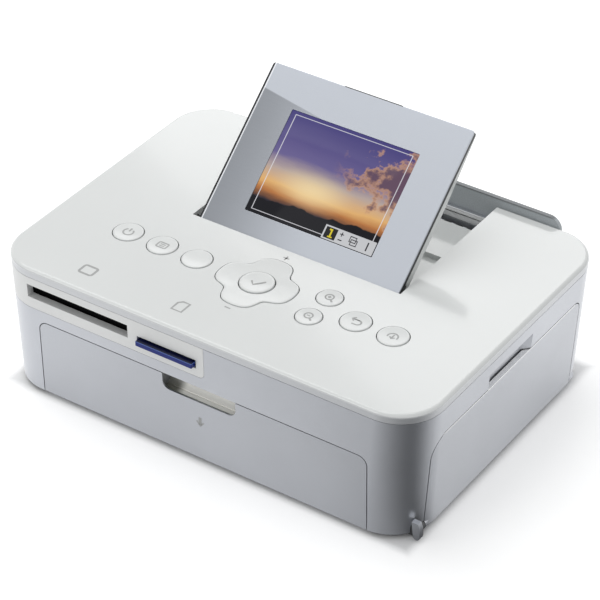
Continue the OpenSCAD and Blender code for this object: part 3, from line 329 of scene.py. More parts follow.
def shade(colour, factor):
    """A lighter or darker tone of a colour."""
    return tuple(min(1.0, c * factor) for c in colour)


# ---------- finishes: places are in metres, on the printer at rest ----------


def gloss_white():
    """Polished white moulding: faint flow marks, fine ripple and a little dust in the gloss. The
    rim around the cover is silvered."""
    rim_low, rim_top = 0.0532, 0.0547
    rim_side, rim_front = 0.066, -0.046
    rim_silver = (0.60, 0.612, 0.63)
    f = Finish("gloss_white")
    base = tuple(colours().cover)
    x, y, z = f.axes()
    around = abs(x).over(rim_side).most(y.under(rim_front))
    rim = (1.0 - z.step(rim_low, rim_top)) * around
    flow = f.noise(14.0, 4.0, 0.6)
    ripple = f.noise(700.0, 2.0)
    scuff = f.noise(90.0, 6.0, 0.7).step(0.58, 0.78)
    return f.set(
        Base_Color=f.mix(rim, f.clouded(flow, base, 0.985, 1.01), rim_silver),
        Metallic=rim * 0.6,
        Roughness=0.13 + ripple * 0.03 + scuff * 0.05 + rim * 0.24,
        Normal=f.relief(ripple, 20, 0.25),
        Coat_Weight=0.35,
        Coat_Roughness=0.06,
        IOR=1.5,
    )


def key_white():
    """The same white on the keys, with a little wear in its tone and gloss."""
    f = Finish("key_white")
    base = tuple(colours().cover)
    wear = f.noise(160.0, 5.0, 0.65)
    return f.set(
        Base_Color=f.mix(wear.step(0.35, 0.7), shade(base, 0.99), base),
        Roughness=0.17 + wear * 0.08,
        Normal=f.relief(f.noise(900.0, 2.0), 20, 0.2),
        Coat_Weight=0.25,
        Coat_Roughness=0.1,
    )


def silver(name, mark, tone=1.0):
    """Satin silver paint: fine flake, soft clouding and a light orange-peel ripple. The mark is a
    place with another colour, less metal and more polish, and tone makes the paint darker."""
    f = Finish(name)
    base = shade(tuple(colours().casing), tone)
    flake = f.cells(5200.0)
    cloud = f.noise(24.0, 3.0, 0.55)
    peel = f.noise(1100.0, 2.0)
    paint = f.mix(flake.step(0.1, 0.5) * 0.10, f.clouded(cloud, base, 0.97, 1.03), shade(base, 1.25))
    where, other, bare, polish = mark(f)
    return f.set(
        Base_Color=f.mix(where, paint, other),
        Metallic=(0.74 + flake * 0.12) * (1.0 - where * bare),
        Roughness=(0.27 + peel * 0.10) * (1.0 - where * polish),
        Normal=f.relief(peel, 30, 0.25),
        Coat_Weight=0.4,
        Coat_Roughness=0.12,
    )


def silver_paint():
    """Silver, with painted light: the shaded inner face of the low rear wall is near white, not metal."""
    face_front, face_back = 0.0605, 0.0619
    face_low, half_width = 0.0446, 0.046

    def mark(f):
        x, y, z = f.axes()
        face = y.span(face_front, face_back) * z.over(face_low) * abs(x).under(half_width)
        # painted light: the inner face of the rear wall is made near white where it lies in shade
        return face, (0.97, 0.97, 0.98), 1.0, 0.0

    return silver("silver_paint", mark)


def paper_door_paint():
    """Silver, with painted light inside the finger pocket, near white, and painted shade at its left end."""
    left, right = -0.0147, 0.0163
    low, high = 0.0264, 0.0335
    mouth, depth = -0.0630, 0.0014
    shaded_end, lit_end = -0.0105, -0.0065

    def mark(f):
        x, y, z = f.axes()
        inside = (y - mouth + z * FRONT_LEAN).over(depth)
        pocket = x.span(left, right) * z.span(low, high) * inside
        # painted light and shade in the pocket: near white, going to near black at its shaded left end
        plastic = f.mix(x.step(shaded_end, lit_end), (0.16, 0.16, 0.135), (0.98, 0.965, 0.91))
        return pocket, plastic, 1.0, 0.0

    return silver("paper_door_paint", mark, 0.92)


def ink_door_paint():
    """Silver, with a painted highlight along the door's top edge, which is also glossier, less metal."""
    top_highlight_low, top_highlight_end = 0.03955, 0.044

    def mark(f):
        _, y, z = f.axes()
        # painted highlight: a near white line along the top edge, with less metal and more gloss
        return z.over(top_highlight_low) * y.under(top_highlight_end), (0.97, 0.97, 0.97), 0.3, 0.5

    return silver("ink_door_paint", mark, 0.94)


def base_paint():
    """Painted shade: near black under the casing, silver at the front right hinge lug and along the rear."""
    lug_x, lug_front, rear_part = 0.0839, -0.0545, 0.045

    def mark(f):
        x, y, _ = f.axes()
        silvered = (x.over(lug_x) * y.under(lug_front)).most(y.over(rear_part))
        # painted shade: all but the lug and the rear is near black, standing for shade under the casing
        return 1.0 - silvered, (0.06, 0.062, 0.066), 1.0, 0.0

    return silver("base_paint", mark)


def pale_insert():
    """The paler, plainer paint of the card slot insert."""
    f = Finish("pale_insert")
    cloud = f.noise(30.0, 3.0, 0.55)
    peel = f.noise(1100.0, 2.0)
    return f.set(
        Base_Color=f.clouded(cloud, (0.74, 0.745, 0.74), 0.98, 1.02),
        Metallic=0.2,
        Roughness=0.32 + peel * 0.10,
        Normal=f.relief(peel, 30, 0.25),
    )


def dark_grey():
    """Grey moulding with a spark-eroded texture, dark along its top edge."""
    top_low, top_high = 0.0572, 0.0580
    f = Finish("dark_grey")
    base = tuple(colours().rear)
    grain = f.noise(2600.0, 3.0, 0.6)
    _, _, z = f.axes()
    edge = z.step(top_low, top_high) * 0.8
    return f.set(
        Base_Color=f.mix(edge, f.clouded(grain, base, 0.9, 1.12), shade(base, 0.3)),
        Roughness=0.36 + grain * 0.14,
        Normal=f.relief(grain, 40, 0.5),
    )


def screen_silver():
    """Satin silver face plate: fine straight brushing, a dark line down its left edge with a painted
    highlight line beside it, a dark patch at its finger tab, and a painted reflection: a broad soft
    lighter zone over its top and right."""
    line_left, highlight_line_right = -0.0414, -0.0409
    tab_near, tab_x, tab_half = 0.0628, 0.0012, 0.0123
    reflection_near, reflection_far, reflection_slant = 0.0461, 0.0467, 0.155
    reflection_left, reflection_right = -0.045, 0.008
    f = Finish("screen_silver")
    base = tuple(colours().plate)
    brushed = f.noise(1.0, 3.0, 0.6, f.stretch((60.0, 4200.0, 4200.0)))
    across, deep, height = f.axes()
    along = deep * math.cos(SCREEN_TILT) + (height - HINGE.z * MM) * math.sin(SCREEN_TILT)
    # painted reflection: the plate is lighter over its top and right, as if it mirrored a bright surround
    light = (along + across * reflection_slant).step(reflection_near, reflection_far).most(across.step(reflection_left, reflection_right))
    satin = f.mix(light, f.mix(brushed, shade(base, 0.53), shade(base, 0.58)), shade(base, 1.08))
    # painted highlight: a light line just inside the dark left edge
    with_highlight_line = f.mix(across.span(line_left, highlight_line_right) * 0.7, satin, (0.9, 0.92, 0.95))
    tab = along.over(tab_near) * abs(across - tab_x).under(tab_half)
    return f.set(
        Base_Color=f.mix(across.under(line_left).most(tab), with_highlight_line, (0.02, 0.021, 0.023)),
        Metallic=0.5,
        Roughness=0.26 + brushed * 0.10,
        Normal=f.relief(brushed, 10, 0.2),
    )


def grained(name, scale, tones, gloss, relief, detail=3.0, rough=0.6, **more):
    """Moulding with an eroded grain. Tones are its two colours, gloss its roughness and the spread
    of it, relief the grain's depth in microns and its strength."""
    f = Finish(name)
    grain = f.noise(scale, detail, rough)
    return f.set(
        Base_Color=f.mix(grain, *tones),
        Roughness=gloss[0] + grain * gloss[1],
        Normal=f.relief(grain, *relief),
        **more,
    )


def plain_black():
    """Black moulding with a fine eroded grain."""
    tones = (0.007, 0.007, 0.008), (0.024, 0.024, 0.026)
    return grained("black_plastic", 2200.0, tones, (0.32, 0.2), (30, 0.4))


def connector_black():
    """Dead black moulding of the wide card connector with a dull grain: painted shade deep in the card slot.
    """
    tones = (0.002, 0.002, 0.002), (0.006, 0.006, 0.007)
    return grained("connector_black", 2200.0, tones, (0.55, 0.2), (30, 0.4), Specular_IOR_Level=0.12)


def rubber():
    """Matt black rubber with a ground surface."""
    tones = (0.016, 0.016, 0.017), (0.05, 0.05, 0.052)
    return grained("black_rubber", 1500.0, tones, (0.68, 0.2), (50, 0.6), detail=4.0, rough=0.7)


def latch_orange():
    """Orange moulding with a satin grain."""
    base = tuple(colours().latch)
    tones = shade(base, 0.85), shade(base, 1.1)
    return grained("latch_orange", 1800.0, tones, (0.34, 0.15), (30, 0.4), rough=0.5)


def card_blue():
    """Blue moulded card, faint flow lines, painted highlight on its edge, painted shade on its top."""
    card_highlight_low, card_highlight_top = 0.04392, 0.04417
    f = Finish("card_blue")
    base = tuple(colours().card)
    flow = f.noise(1.0, 3.0, 0.5, f.stretch((90.0, 600.0, 600.0)))
    _, _, z = f.axes()
    moulded = f.mix(flow, shade(base, 0.75), shade(base, 1.1))
    # painted highlight: a light blue band along the card's upper edge
    highlit_card = f.mix(z.span(card_highlight_low, card_highlight_top), moulded, (0.09, 0.15, 0.42))
    return f.set(
        # painted shade: the card's upper face above the band is near black
        Base_Color=f.mix(z.over(card_highlight_top), highlit_card, (0.004, 0.006, 0.035)),
        Roughness=0.26 + flow * 0.12,
        Specular_IOR_Level=0.3,
        Normal=f.relief(f.noise(1800.0), 20, 0.3),
    )


def rolled_metal(name, colour, stretch, roughness=0.3):
    """Bright metal with drawing lines and a cloudy plating."""
    f = Finish(name)
    lines = f.noise(1.0, 4.0, 0.6, f.stretch(stretch))
    cloud = f.noise(60.0, 3.0, 0.6)
    return f.set(
        Base_Color=f.clouded(cloud, colour, 0.88, 1.06),
        Metallic=1.0,
        Roughness=roughness + lines * 0.16,
        Normal=f.relief(lines, 20, 0.35),
    )


def steel():
    return rolled_metal("plated_steel", (0.60, 0.61, 0.62), (300.0, 3000.0, 300.0))


def connector_metal():
    return rolled_metal("connector_metal", (0.70, 0.71, 0.72), (3000.0, 200.0, 3000.0), 0.22)


def brass():
    return rolled_metal("turned_brass", (0.72, 0.52, 0.24), (3200.0, 300.0, 300.0), 0.24)


def motor_metal():
    return rolled_metal("motor_can", (0.34, 0.35, 0.37), (2600.0, 200.0, 200.0), 0.34)


def aluminium():
    return rolled_metal("extruded_aluminium", (0.74, 0.75, 0.77), (60.0, 3600.0, 3600.0), 0.28)


def circuit_board():
    """Green solder mask over copper tracks, with tinned pads."""
    tracks_per_metre, track_share = 420.0, 0.28
    f = Finish("circuit_board")
    base = tuple(colours().board)
    x, y, _ = f.axes()
    bend = f.noise(70.0, 1.0) * 0.004

    def tracks(axis, patches, share):
        line = ((axis + bend) * tracks_per_metre).part().span(0.0, track_share)
        return line * f.noise(patches, 0.0).over(share)

    copper = tracks(x, 120.0, 0.5).most(tracks(y, 95.0, 0.54))
    pads = f.cells(330.0).under(0.16) * f.noise(60.0, 0.0).over(0.5)
    masked = f.mix(copper, base, shade(base, 1.9))
    return f.set(
        Base_Color=f.mix(pads, masked, (0.62, 0.62, 0.60)),
        Metallic=pads * 0.9,
        Roughness=0.28 + pads * 0.1,
        Normal=f.relief(copper + pads, 40, 0.5),
    )


def board_parts():
    """Chip and switch bodies: black epoxy with a pale speckle."""
    f = Finish("board_parts")
    speck = f.cells(2600.0)
    grain = f.noise(2400.0)
    return f.set(
        Base_Color=f.mix(speck.under(0.12) * 0.4, (0.022, 0.022, 0.024), (0.16, 0.16, 0.16)),
        Roughness=0.42 + grain * 0.2,
        Normal=f.relief(grain, 30, 0.4),
    )


def gear_plastic():
    """Natural acetal: slightly translucent white with a waxy gloss."""
    f = Finish("gear_plastic")
    cloud = f.noise(220.0, 4.0, 0.6)
    return f.set(
        Base_Color=f.mix(cloud, (0.68, 0.66, 0.58), (0.80, 0.78, 0.70)),
        Roughness=0.30 + cloud * 0.12,
        Normal=f.relief(f.noise(1600.0), 20, 0.3),
        Subsurface_Weight=0.08,
    )


def ceramic():
    """Glazed ceramic with a fine speckle."""
    f = Finish("ceramic")
    speck = f.cells(2100.0)
    return f.set(
        Base_Color=f.mix(speck.under(0.2) * 0.4, (0.76, 0.74, 0.68), (0.52, 0.46, 0.36)),
        Roughness=0.12 + speck * 0.15,
    )


def cassette_plastic():
    """Pale grey moulding with a fine grain."""
    f = Finish("cassette_plastic")
    grain = f.noise(1900.0)
    return f.set(
        Base_Color=f.clouded(f.noise(30.0), tuple(colours().cassette), 0.95, 1.05),
        Roughness=0.38 + grain * 0.14,
        Normal=f.relief(grain, 30, 0.4),
    )


def ribbon_film():
    """Wound dye film: many thin turns that change colour from panel to panel."""
    dyes = [
        (0.30, (0.62, 0.44, 0.02)),
        (0.48, (0.42, 0.02, 0.16)),
        (0.62, (0.01, 0.16, 0.36)),
        (0.8, (0.10, 0.08, 0.07)),
    ]
    f = Finish("ribbon_film")
    turns = f.noise(1.0, 2.0, 0.5, f.stretch((6.0, 2400.0, 2400.0)))
    dye = f.ramp(f.noise(1.0, 1.0, 0.5, f.stretch((1.0, 380.0, 380.0))), dyes)
    return f.set(
        Base_Color=f.mix(turns * 0.35, dye, (0.03, 0.02, 0.03)),
        Roughness=0.18 + turns * 0.14,
        Normal=f.relief(turns, 30, 0.4),
    )


def printed_grey():
    """Grey pad-printed ink, slightly uneven in density."""
    f = Finish("printed_grey")
    base = tuple(colours().ink)
    density = f.noise(1400.0)
    tone = f.mix(density, shade(base, 0.85), shade(base, 1.25))
    return f.set(Base_Color=tone, Roughness=0.4 + density * 0.1)


# the display's places are shares of its width (u) and height (v)
SKY = [
    (0.16, (0.020, 0.018, 0.028)),
    (0.235, (0.50, 0.19, 0.055)),
    (0.32, (0.80, 0.46, 0.17)),
    (0.46, (0.50, 0.40, 0.36)),
    (0.60, (0.150, 0.125, 0.30)),
    (0.98, (0.042, 0.032, 0.19)),
]
SUN_U, SUN_V, SUN_REACH = 0.40, 0.36, 0.42
CLOUD_U, CLOUD_V = 0.62, 0.66
FRAME_LINE = (0.4575, 0.4640)


def evening_sky(f, u, v):
    """Bands of an evening sky with wisps, a low sun's glow and a cloud bank on the right."""
    wisps = f.noise(1.0, 6.0, 0.62, f.vector(u * 2.2 + v * 1.5, v * 9.0, 0.35))
    sky = f.ramp(v + (wisps - 0.5) * 0.10, SKY)
    across, up = u - SUN_U, v - SUN_V
    away = (across * across * 1.3 + up * up * 4.2) ** 0.5
    glow = 1.0 - away.step(0.0, SUN_REACH)
    lit = f.mix(glow * 0.72, sky, (1.0, 0.80, 0.44))
    puffs = f.noise(5.2, 7.0, 0.6, f.vector(u * 1.3 + 3.1, v * 1.15, 0.2))
    heap = puffs + (u - CLOUD_U) * 0.55 - abs(v - CLOUD_V) * 0.85
    bank = heap.step(0.44, 0.53) * u.step(0.45, 0.7)
    cloud = f.mix(heap.step(0.46, 0.62), (0.66, 0.36, 0.20), (0.13, 0.07, 0.10))
    return f.mix(bank * 0.9, lit, cloud)


def counter_bar(f, u, v, picture):
    """The bar in the picture's lower right corner: a numeral on black, plus and minus, sheets."""

    def patch(left, right, low, high):
        return u.span(left, right) * v.span(low, high)

    bar = patch(0.60, 0.995, 0.005, 0.135)
    well = patch(0.612, 0.70, 0.018, 0.122)
    stem = patch(0.652, 0.664, 0.03, 0.11)
    flag, foot = patch(0.640, 0.664, 0.094, 0.11), patch(0.642, 0.676, 0.03, 0.042)
    numeral = stem.most(flag).most(foot)
    plus = patch(0.722, 0.752, 0.091, 0.100).most(patch(0.7335, 0.7405, 0.075, 0.116))
    minus = patch(0.722, 0.752, 0.036, 0.046)
    sheet_back = patch(0.800, 0.852, 0.055, 0.112) - patch(0.806, 0.846, 0.063, 0.104)
    sheet_front = patch(0.812, 0.864, 0.030, 0.087) - patch(0.818, 0.858, 0.038, 0.079)
    end_line = patch(0.935, 0.945, 0.03, 0.11)
    marks = plus.most(minus).most(sheet_back).most(sheet_front).most(end_line)
    with_bar = f.mix(bar, picture, (0.60, 0.61, 0.63))
    with_well = f.mix(well, with_bar, (0.008, 0.008, 0.008))
    with_numeral = f.mix(numeral * well, with_well, (0.75, 0.62, 0.02))
    return f.mix(marks * bar, with_numeral, (0.02, 0.02, 0.025))


def sunset_picture():
    """The lit display: an evening sky over dark hills, with a frame line and a small counter bar."""
    width_share = 1.35
    f = Finish("display_picture")
    u, v, _ = f.axes(f.add("ShaderNodeUVMap", {"uv_map": "picture"}))
    ridge = f.noise(4.5, 3.0, 0.5, f.vector(u, 0.0, 0.0)) * 0.16 + u.step(0.15, 1.0) * 0.05 + 0.075
    land = f.mix((ridge - v).step(-0.006, 0.006), evening_sky(f, u, v), (0.004, 0.004, 0.006))
    edge = abs(u - 0.5).most(abs(v - 0.5) * 0.985)
    framed = f.mix(edge.span(*FRAME_LINE) * 0.75, land, (0.80, 0.80, 0.84))
    flat = f.vector(u * width_share, v, 0.0)
    grid = f.noise(1.0, 0.0, 0.0, f.stretch((320.0, 320.0, 1.0), flat))
    return f.set(
        Base_Color=(0.006, 0.006, 0.008),
        Emission_Color=f.mix(grid * 0.06, counter_bar(f, u, v, framed), (0.0, 0.0, 0.0)),
        Emission_Strength=0.92,
        Roughness=0.08 + grid * 0.02,
        Specular_IOR_Level=0.12,
    )


FINISHES = {
    "white_gloss": gloss_white,
    "key_white": key_white,
    "silver_paint": silver_paint,
    "pale_insert": pale_insert,
    "dark_grey": dark_grey,
    "rubber_black": rubber,
    "steel": steel,
    "connector_metal": connector_metal,
    "screen_silver": screen_silver,
    "screen_glass": sunset_picture,
    "black_plastic": plain_black,
    "connector_black": connector_black,
    "base_paint": base_paint,
    "paper_door_paint": paper_door_paint,
    "ink_door_paint": ink_door_paint,
    "board_parts": board_parts,
    "circuit_board": circuit_board,
    "card_navy": card_blue,
    "brass": brass,
    "motor_metal": motor_metal,
    "gear_plastic": gear_plastic,
    "aluminium": aluminium,
    "ceramic": ceramic,
    "cassette_plastic": cassette_plastic,
    "ribbon_film": ribbon_film,
    "latch_orange": latch_orange,
    "printed_grey": printed_grey,
}
MADE = {}


def finish(name):
    """The material of that finish, made once."""
    if name not in MADE:
        MADE[name] = FINISHES[name]()
    return MADE[name]


# ---------- meshes ----------

# edges that turn by more degrees than these are rounded, or stay sharp
ROUNDED = 30.0
SHARP_SOLID, SHARP_TURNED, SHARP_SOFTENED = 28.0, 40.0, 50.0

# points around a turned piece and around the pad
TURNED_POINTS, PAD_POINTS = 96, 216


def from_bmesh(name, shape):
    """An object in the scene with that shape, which is used up."""
    mesh = bpy.data.meshes.new(name)
    shape.to_mesh(mesh)
    shape.free()
    piece = bpy.data.objects.new(name, mesh)
    bpy.context.scene.collection.objects.link(piece)
    return piece


def fix_modifiers(piece):
    """Turns the piece's modifiers into its mesh."""
    bpy.context.view_layer.update()
    depsgraph = bpy.context.evaluated_depsgraph_get()
    made = bpy.data.meshes.new_from_object(piece.evaluated_get(depsgraph))
    piece.modifiers.clear()
    piece.data = made


def smooth(piece, angle=SHARP_TURNED):
    """Smooth shading, with sharp edges over the angle."""
    piece.data.shade_smooth()
    piece.data.set_sharp_from_angle(angle=math.radians(angle))


def soften(piece, width, segments=2):
    """Rounds the piece's edges and evens its shading."""
    bevel = piece.modifiers.new("edges", "BEVEL")
    bevel.width = width
    bevel.segments = segments
    bevel.limit_method = "ANGLE"
    bevel.angle_limit = math.radians(ROUNDED)
    bevel.use_clamp_overlap = True
    bevel.harden_normals = False
    bevel.miter_outer = "MITER_ARC"
    fix_modifiers(piece)
    smooth(piece, SHARP_SOFTENED)
    even = piece.modifiers.new("even", "WEIGHTED_NORMAL")
    even.keep_sharp = True
    even.weight = 60
    fix_modifiers(piece)


def settle(piece, node, surface=None, stands_for=True):
    """Puts the piece on its node's body, with the node's material slot and its own finish."""
    slot = SLOT_OF[node]
    piece.data.materials.clear()
    piece.data.materials.append(finish(surface or slot))
    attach(piece, BODY_OF[node])
    if stands_for:
        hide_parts(node)


def dressed(node, width, surface=None, segments=2, split=False):
    """A copy of a node with clean faces and softened edges, which stands for it. Split cuts the
    rear faces with their many openings back into triangles, which keeps them whole when softened."""
    weld, flat = 2 * MICRON, math.radians(0.4)
    shape = bmesh.new()
    shape.from_mesh(frame["nodes"][node].data)
    bmesh.ops.remove_doubles(shape, verts=shape.verts, dist=weld)
    bmesh.ops.dissolve_limit(
        shape, angle_limit=flat, verts=shape.verts, edges=shape.edges, use_dissolve_boundaries=False
    )
    if split:
        rear = [
            face
            for face in shape.faces
            if abs(face.normal.y) > 0.9 and face.calc_center_median().y > REAR_WALL * MM
        ]
        bmesh.ops.triangulate(shape, faces=rear)
    piece = from_bmesh(node + "_finish", shape)
    soften(piece, width, segments)
    settle(piece, node, surface)


def coat(node, surface=None):
    """Gives a node its finish where its solid is shown as it is."""
    solid = frame["nodes"][node]
    solid.data.materials.clear()
    solid.data.materials.append(finish(surface or SLOT_OF[node]))
    for polygon in solid.data.polygons:
        polygon.material_index = 0
    smooth(solid, SHARP_SOLID)


def round_points(shape, centre, radius_at, height, count):
    """Points around a centre, in millimetres; radius_at gives their radius by angle."""
    points = []
    for n in range(count):
        a = 2 * math.pi * n / count
        r = radius_at(a)
        x, y = centre[0] + r * math.cos(a), centre[1] + r * math.sin(a)
        points.append(shape.verts.new((x * MM, y * MM, height * MM)))
    return points


def join_rings(shape, rings):
    """Faces between neighbouring rings; a ring of one point closes an end."""
    for low, high in zip(rings, rings[1:]):
        count = max(len(low), len(high))
        for n in range(count):
            m = (n + 1) % count
            corners = []
            for vert in (low[n % len(low)], low[m % len(low)], high[m % len(high)], high[n % len(high)]):
                if vert not in corners:
                    corners.append(vert)
            shape.faces.new(corners)
    bmesh.ops.recalc_face_normals(shape, faces=shape.faces)


def lathe(name, centre, profile):
    """A turned piece from a profile of (radius, height) in millimetres."""
    shape = bmesh.new()
    rings = []
    for radius, height in profile:
        count = TURNED_POINTS if radius else 1
        rings.append(round_points(shape, centre, lambda a, r=radius: r, height, count))
    join_rings(shape, rings)
    return from_bmesh(name, shape)


def arc(cx, cy, radius, start, end, steps=28):
    """Points along an arc between two angles in degrees."""
    angles = [math.radians(start + (end - start) * n / steps) for n in range(steps + 1)]
    return [(cx + radius * math.cos(a), cy + radius * math.sin(a)) for a in angles]


def round_cornered(x0, y0, x1, y1, radius, steps=8):
    """A rectangle with round corners, as points."""
    corners = (
        (x1 - radius, y1 - radius, 0),
        (x0 + radius, y1 - radius, 90),
        (x0 + radius, y0 + radius, 180),
        (x1 - radius, y0 + radius, 270),
    )
    return [point for cx, cy, start in corners for point in arc(cx, cy, radius, start, start + 90, steps)]


def prism(name, outline, z0, z1):
    """A flat outline given thickness, in millimetres."""
    shape = bmesh.new()
    low, high = [[shape.verts.new((x * MM, y * MM, z * MM)) for x, y in outline] for z in (z0, z1)]
    shape.faces.new(list(reversed(low)))
    shape.faces.new(high)
    count = len(outline)
    for n in range(count):
        m = (n + 1) % count
        shape.faces.new((low[n], low[m], high[m], high[n]))
    bmesh.ops.recalc_face_normals(shape, faces=shape.faces)
    return from_bmesh(name, shape)


def cut(piece, cutter):
    """Takes one mesh out of another and removes the cutter."""
    hole = piece.modifiers.new("hole", "BOOLEAN")
    hole.operation = "DIFFERENCE"
    hole.solver = "EXACT"
    hole.object = cutter
    fix_modifiers(piece)
    bpy.data.objects.remove(cutter)


def screen_place():
    """The screen unit's place at rest, from its flat drawing."""
    return Matrix.Translation(HINGE * MM) @ Matrix.Rotation(SCREEN_TILT, 4, "X")


# ---------- printed marks, in millimetres ----------


def stroke(points, width, closed=False):
    """A line of some width along points, as quads."""
    half = width / 2
    count = len(points)
    sides = []
    for n, (px, py) in enumerate(points):
        before = points[(n - 1) % count] if closed or n > 0 else points[n]
        after = points[(n + 1) % count] if closed or n < count - 1 else points[n]
        dx, dy = after[0] - before[0], after[1] - before[1]
        size = math.hypot(dx, dy) or 1.0
        nx, ny = -dy / size, dx / size
        sides.append(((px + nx * half, py + ny * half), (px - nx * half, py - ny * half)))
    quads = []
    for n in range(count if closed else count - 1):
        m = (n + 1) % count
        quads.append((sides[n][0], sides[m][0], sides[m][1], sides[n][1]))
    return quads


def round_frame(w, h, radius, width):
    """The line of a round-cornered frame about the middle."""
    return stroke(round_cornered(-w / 2, -h / 2, w / 2, h / 2, radius, 5), width, True)


def printed(name, quads, surface_point, node):
    """Ink quads laid on a surface; surface_point turns a flat point into a place in millimetres."""
    shape = bmesh.new()
    for quad in quads:
        corners = [shape.verts.new(Vector(surface_point(x, y)) * MM) for x, y in quad]
        shape.faces.new(corners)
    bmesh.ops.remove_doubles(shape, verts=shape.verts, dist=MICRON)
    piece = from_bmesh(name, shape)
    piece.data.shade_smooth()
    settle(piece, node, "printed_grey", stands_for=False)


def on_top(cx, cy):
    """Places on the cover about a point."""
    return lambda x, y: (cx + x, cy + y, TOP_Z + COVER_INK)


def key_face(share):
    """The height of a small key's hollow face, by share of its radius."""
    flat_rim = 0.9
    dish = sizes().key_dish / MM
    return KEY_TOP - dish * (1.0 - min(1.0, share / flat_rim) ** 2.0)


def on_key(node):
    """Places on the hollow face of a small key, about its middle."""
    cx, cy, radius = SMALL_KEYS[node]
    return lambda x, y: (cx + x, cy + y, key_face(math.hypot(x, y) / radius) + INK)


def on_centre_key(x, y):
    """A place on the hollow face of the centre key."""
    depth, curve = 0.33, 0.0065
    return PAD_X + x, ROW_Y + y, OK_TOP - depth + curve * (x * x + y * y) + INK


def on_paper_door(x, y):
    """A place on the leaning face of the paper door, about the place of its pull icon."""
    icon_x, icon_z = 1.0, 18.3
    z = icon_z + y
    return icon_x + x, FRONT_Y + FRONT_LEAN * (TOP_Z - z) - INK, z


# ---------- operators ----------


class PRINTER_OT_stage(bpy.types.Operator):
    """Floor, backdrop, lights and camera"""

    bl_idname = "printer.stage"
    bl_label = "Stage, lights and camera"

    def execute(self, context):
        setup = context.scene.printer_stage
        self.floor()
        self.surround(context, setup)
        self.lamp("key_light", (-0.44, 0.15, 1.08), (0.0, 0.0, 0.02), 0.9, setup.key_power)
        self.lamp("fill_light", (-0.55, -0.95, 0.6), (0.0, 0.0, 0.03), 0.7, setup.fill_power)
        place, target = (-0.604, 1.204, 0.739), (0.025, 0.1145, -0.078)
        self.lamp("panel_light", place, target, 0.6, setup.panel_power, turn=45.9)
        self.camera(context, setup)
        context.scene.view_settings.view_transform = "Standard"
        return {"FINISHED"}

    def camera(self, context, setup):
        """The camera, aimed at the printer."""
        camera = bpy.data.objects.new("camera", bpy.data.cameras.new("camera"))
        context.scene.collection.objects.link(camera)
        camera.data.lens = setup.lens
        camera.data.sensor_width = 36.0
        camera.data.clip_start = 0.01
        camera.location = CAMERA_PLACE
        aim = Vector(CAMERA_AIM) - camera.location
        camera.rotation_euler = aim.to_track_quat("-Z", "Y").to_euler()
        context.scene.camera = camera

    def lamp(self, name, place, target, size, power, turn=0.0):
        """A square lamp aimed at a target and turned about its beam, in metres and degrees."""
        data = bpy.data.lights.new(name, "AREA")
        data.shape = "SQUARE"
        data.size = size
        data.energy = power
        lamp = bpy.data.objects.new(name, data)
        bpy.context.scene.collection.objects.link(lamp)
        lamp.location = place
        aim = (Vector(target) - Vector(place)).to_track_quat("-Z", "Y")
        lamp.rotation_euler = (aim @ Quaternion((0.0, 0.0, 1.0), math.radians(turn))).to_euler()

    def floor(self):
        """A white floor, lit where the camera sees it beside the printer. To mirror rays all of it
        is lit but a sector at the printer's front right corner, which is dark."""
        reach = 3.0
        half_width, half_depth = 0.086, 0.0625
        corner_x, corner_y, sector_turn = 0.080, -0.047, 0.60
        shape = bmesh.new()
        bmesh.ops.create_grid(shape, x_segments=24, y_segments=24, size=reach)
        floor = from_bmesh("floor", shape)
        f = Finish("floor_white")
        x, y, _ = f.axes()
        glossy = f.add("ShaderNodeLightPath", output="Is Glossy Ray")
        seen = f.add("ShaderNodeLightPath", output="Is Camera Ray")
        turned = (y - corner_y).bearing(x - corner_x) + sector_turn
        shadow = (1.0 - (turned * 0.9).most(turned * -0.52).step(0.0, 1.5)) * glossy
        outside = (abs(x) - half_width).most(abs(y) - half_depth)
        lit = (seen * outside.step(-0.002, 0.003)).most(glossy * (1.0 - shadow))
        grain = f.noise(40.0)
        white = f.mix(grain, (0.90, 0.90, 0.90), (0.93, 0.93, 0.93))
        f.set(
            Base_Color=f.mix(shadow * 0.99, white, (0.02, 0.022, 0.026)),
            Roughness=0.8 + grain * 0.1,
            Specular_IOR_Level=0.1,
            Emission_Color=f.mix(lit, (0.0, 0.0, 0.0), (1.0, 1.0, 1.0)),
            Emission_Strength=0.34,
        )
        floor.data.materials.append(f.material)

    def surround(self, context, setup):
        """An even sky that is plain white to camera, mirror and transmitted rays."""
        world = bpy.data.worlds.new("surround")
        context.scene.world = world
        world.use_nodes = True
        tree = world.node_tree
        plain = tree.nodes["Background"]
        plain.inputs["Color"].default_value = (0.985, 0.995, 1.0, 1.0)
        plain.inputs["Strength"].default_value = setup.sky
        white = tree.nodes.new("ShaderNodeBackground")
        white.inputs["Color"].default_value = (1.0, 1.0, 1.0, 1.0)
        white.inputs["Strength"].default_value = 1.0
        path = tree.nodes.new("ShaderNodeLightPath")
        either = tree.nodes.new("ShaderNodeMixShader")
        ray = path.outputs["Is Camera Ray"]
        for kind in ("Is Glossy Ray", "Is Transmission Ray"):
            most = tree.nodes.new("ShaderNodeMath")
            most.operation = "MAXIMUM"
            tree.links.new(ray, most.inputs[0])
            tree.links.new(path.outputs[kind], most.inputs[1])
            ray = most.outputs[0]
        tree.links.new(ray, either.inputs[0])
        tree.links.new(plain.outputs[0], either.inputs[1])
        tree.links.new(white.outputs[0], either.inputs[2])
        tree.links.new(either.outputs[0], tree.nodes["World Output"].inputs["Surface"])


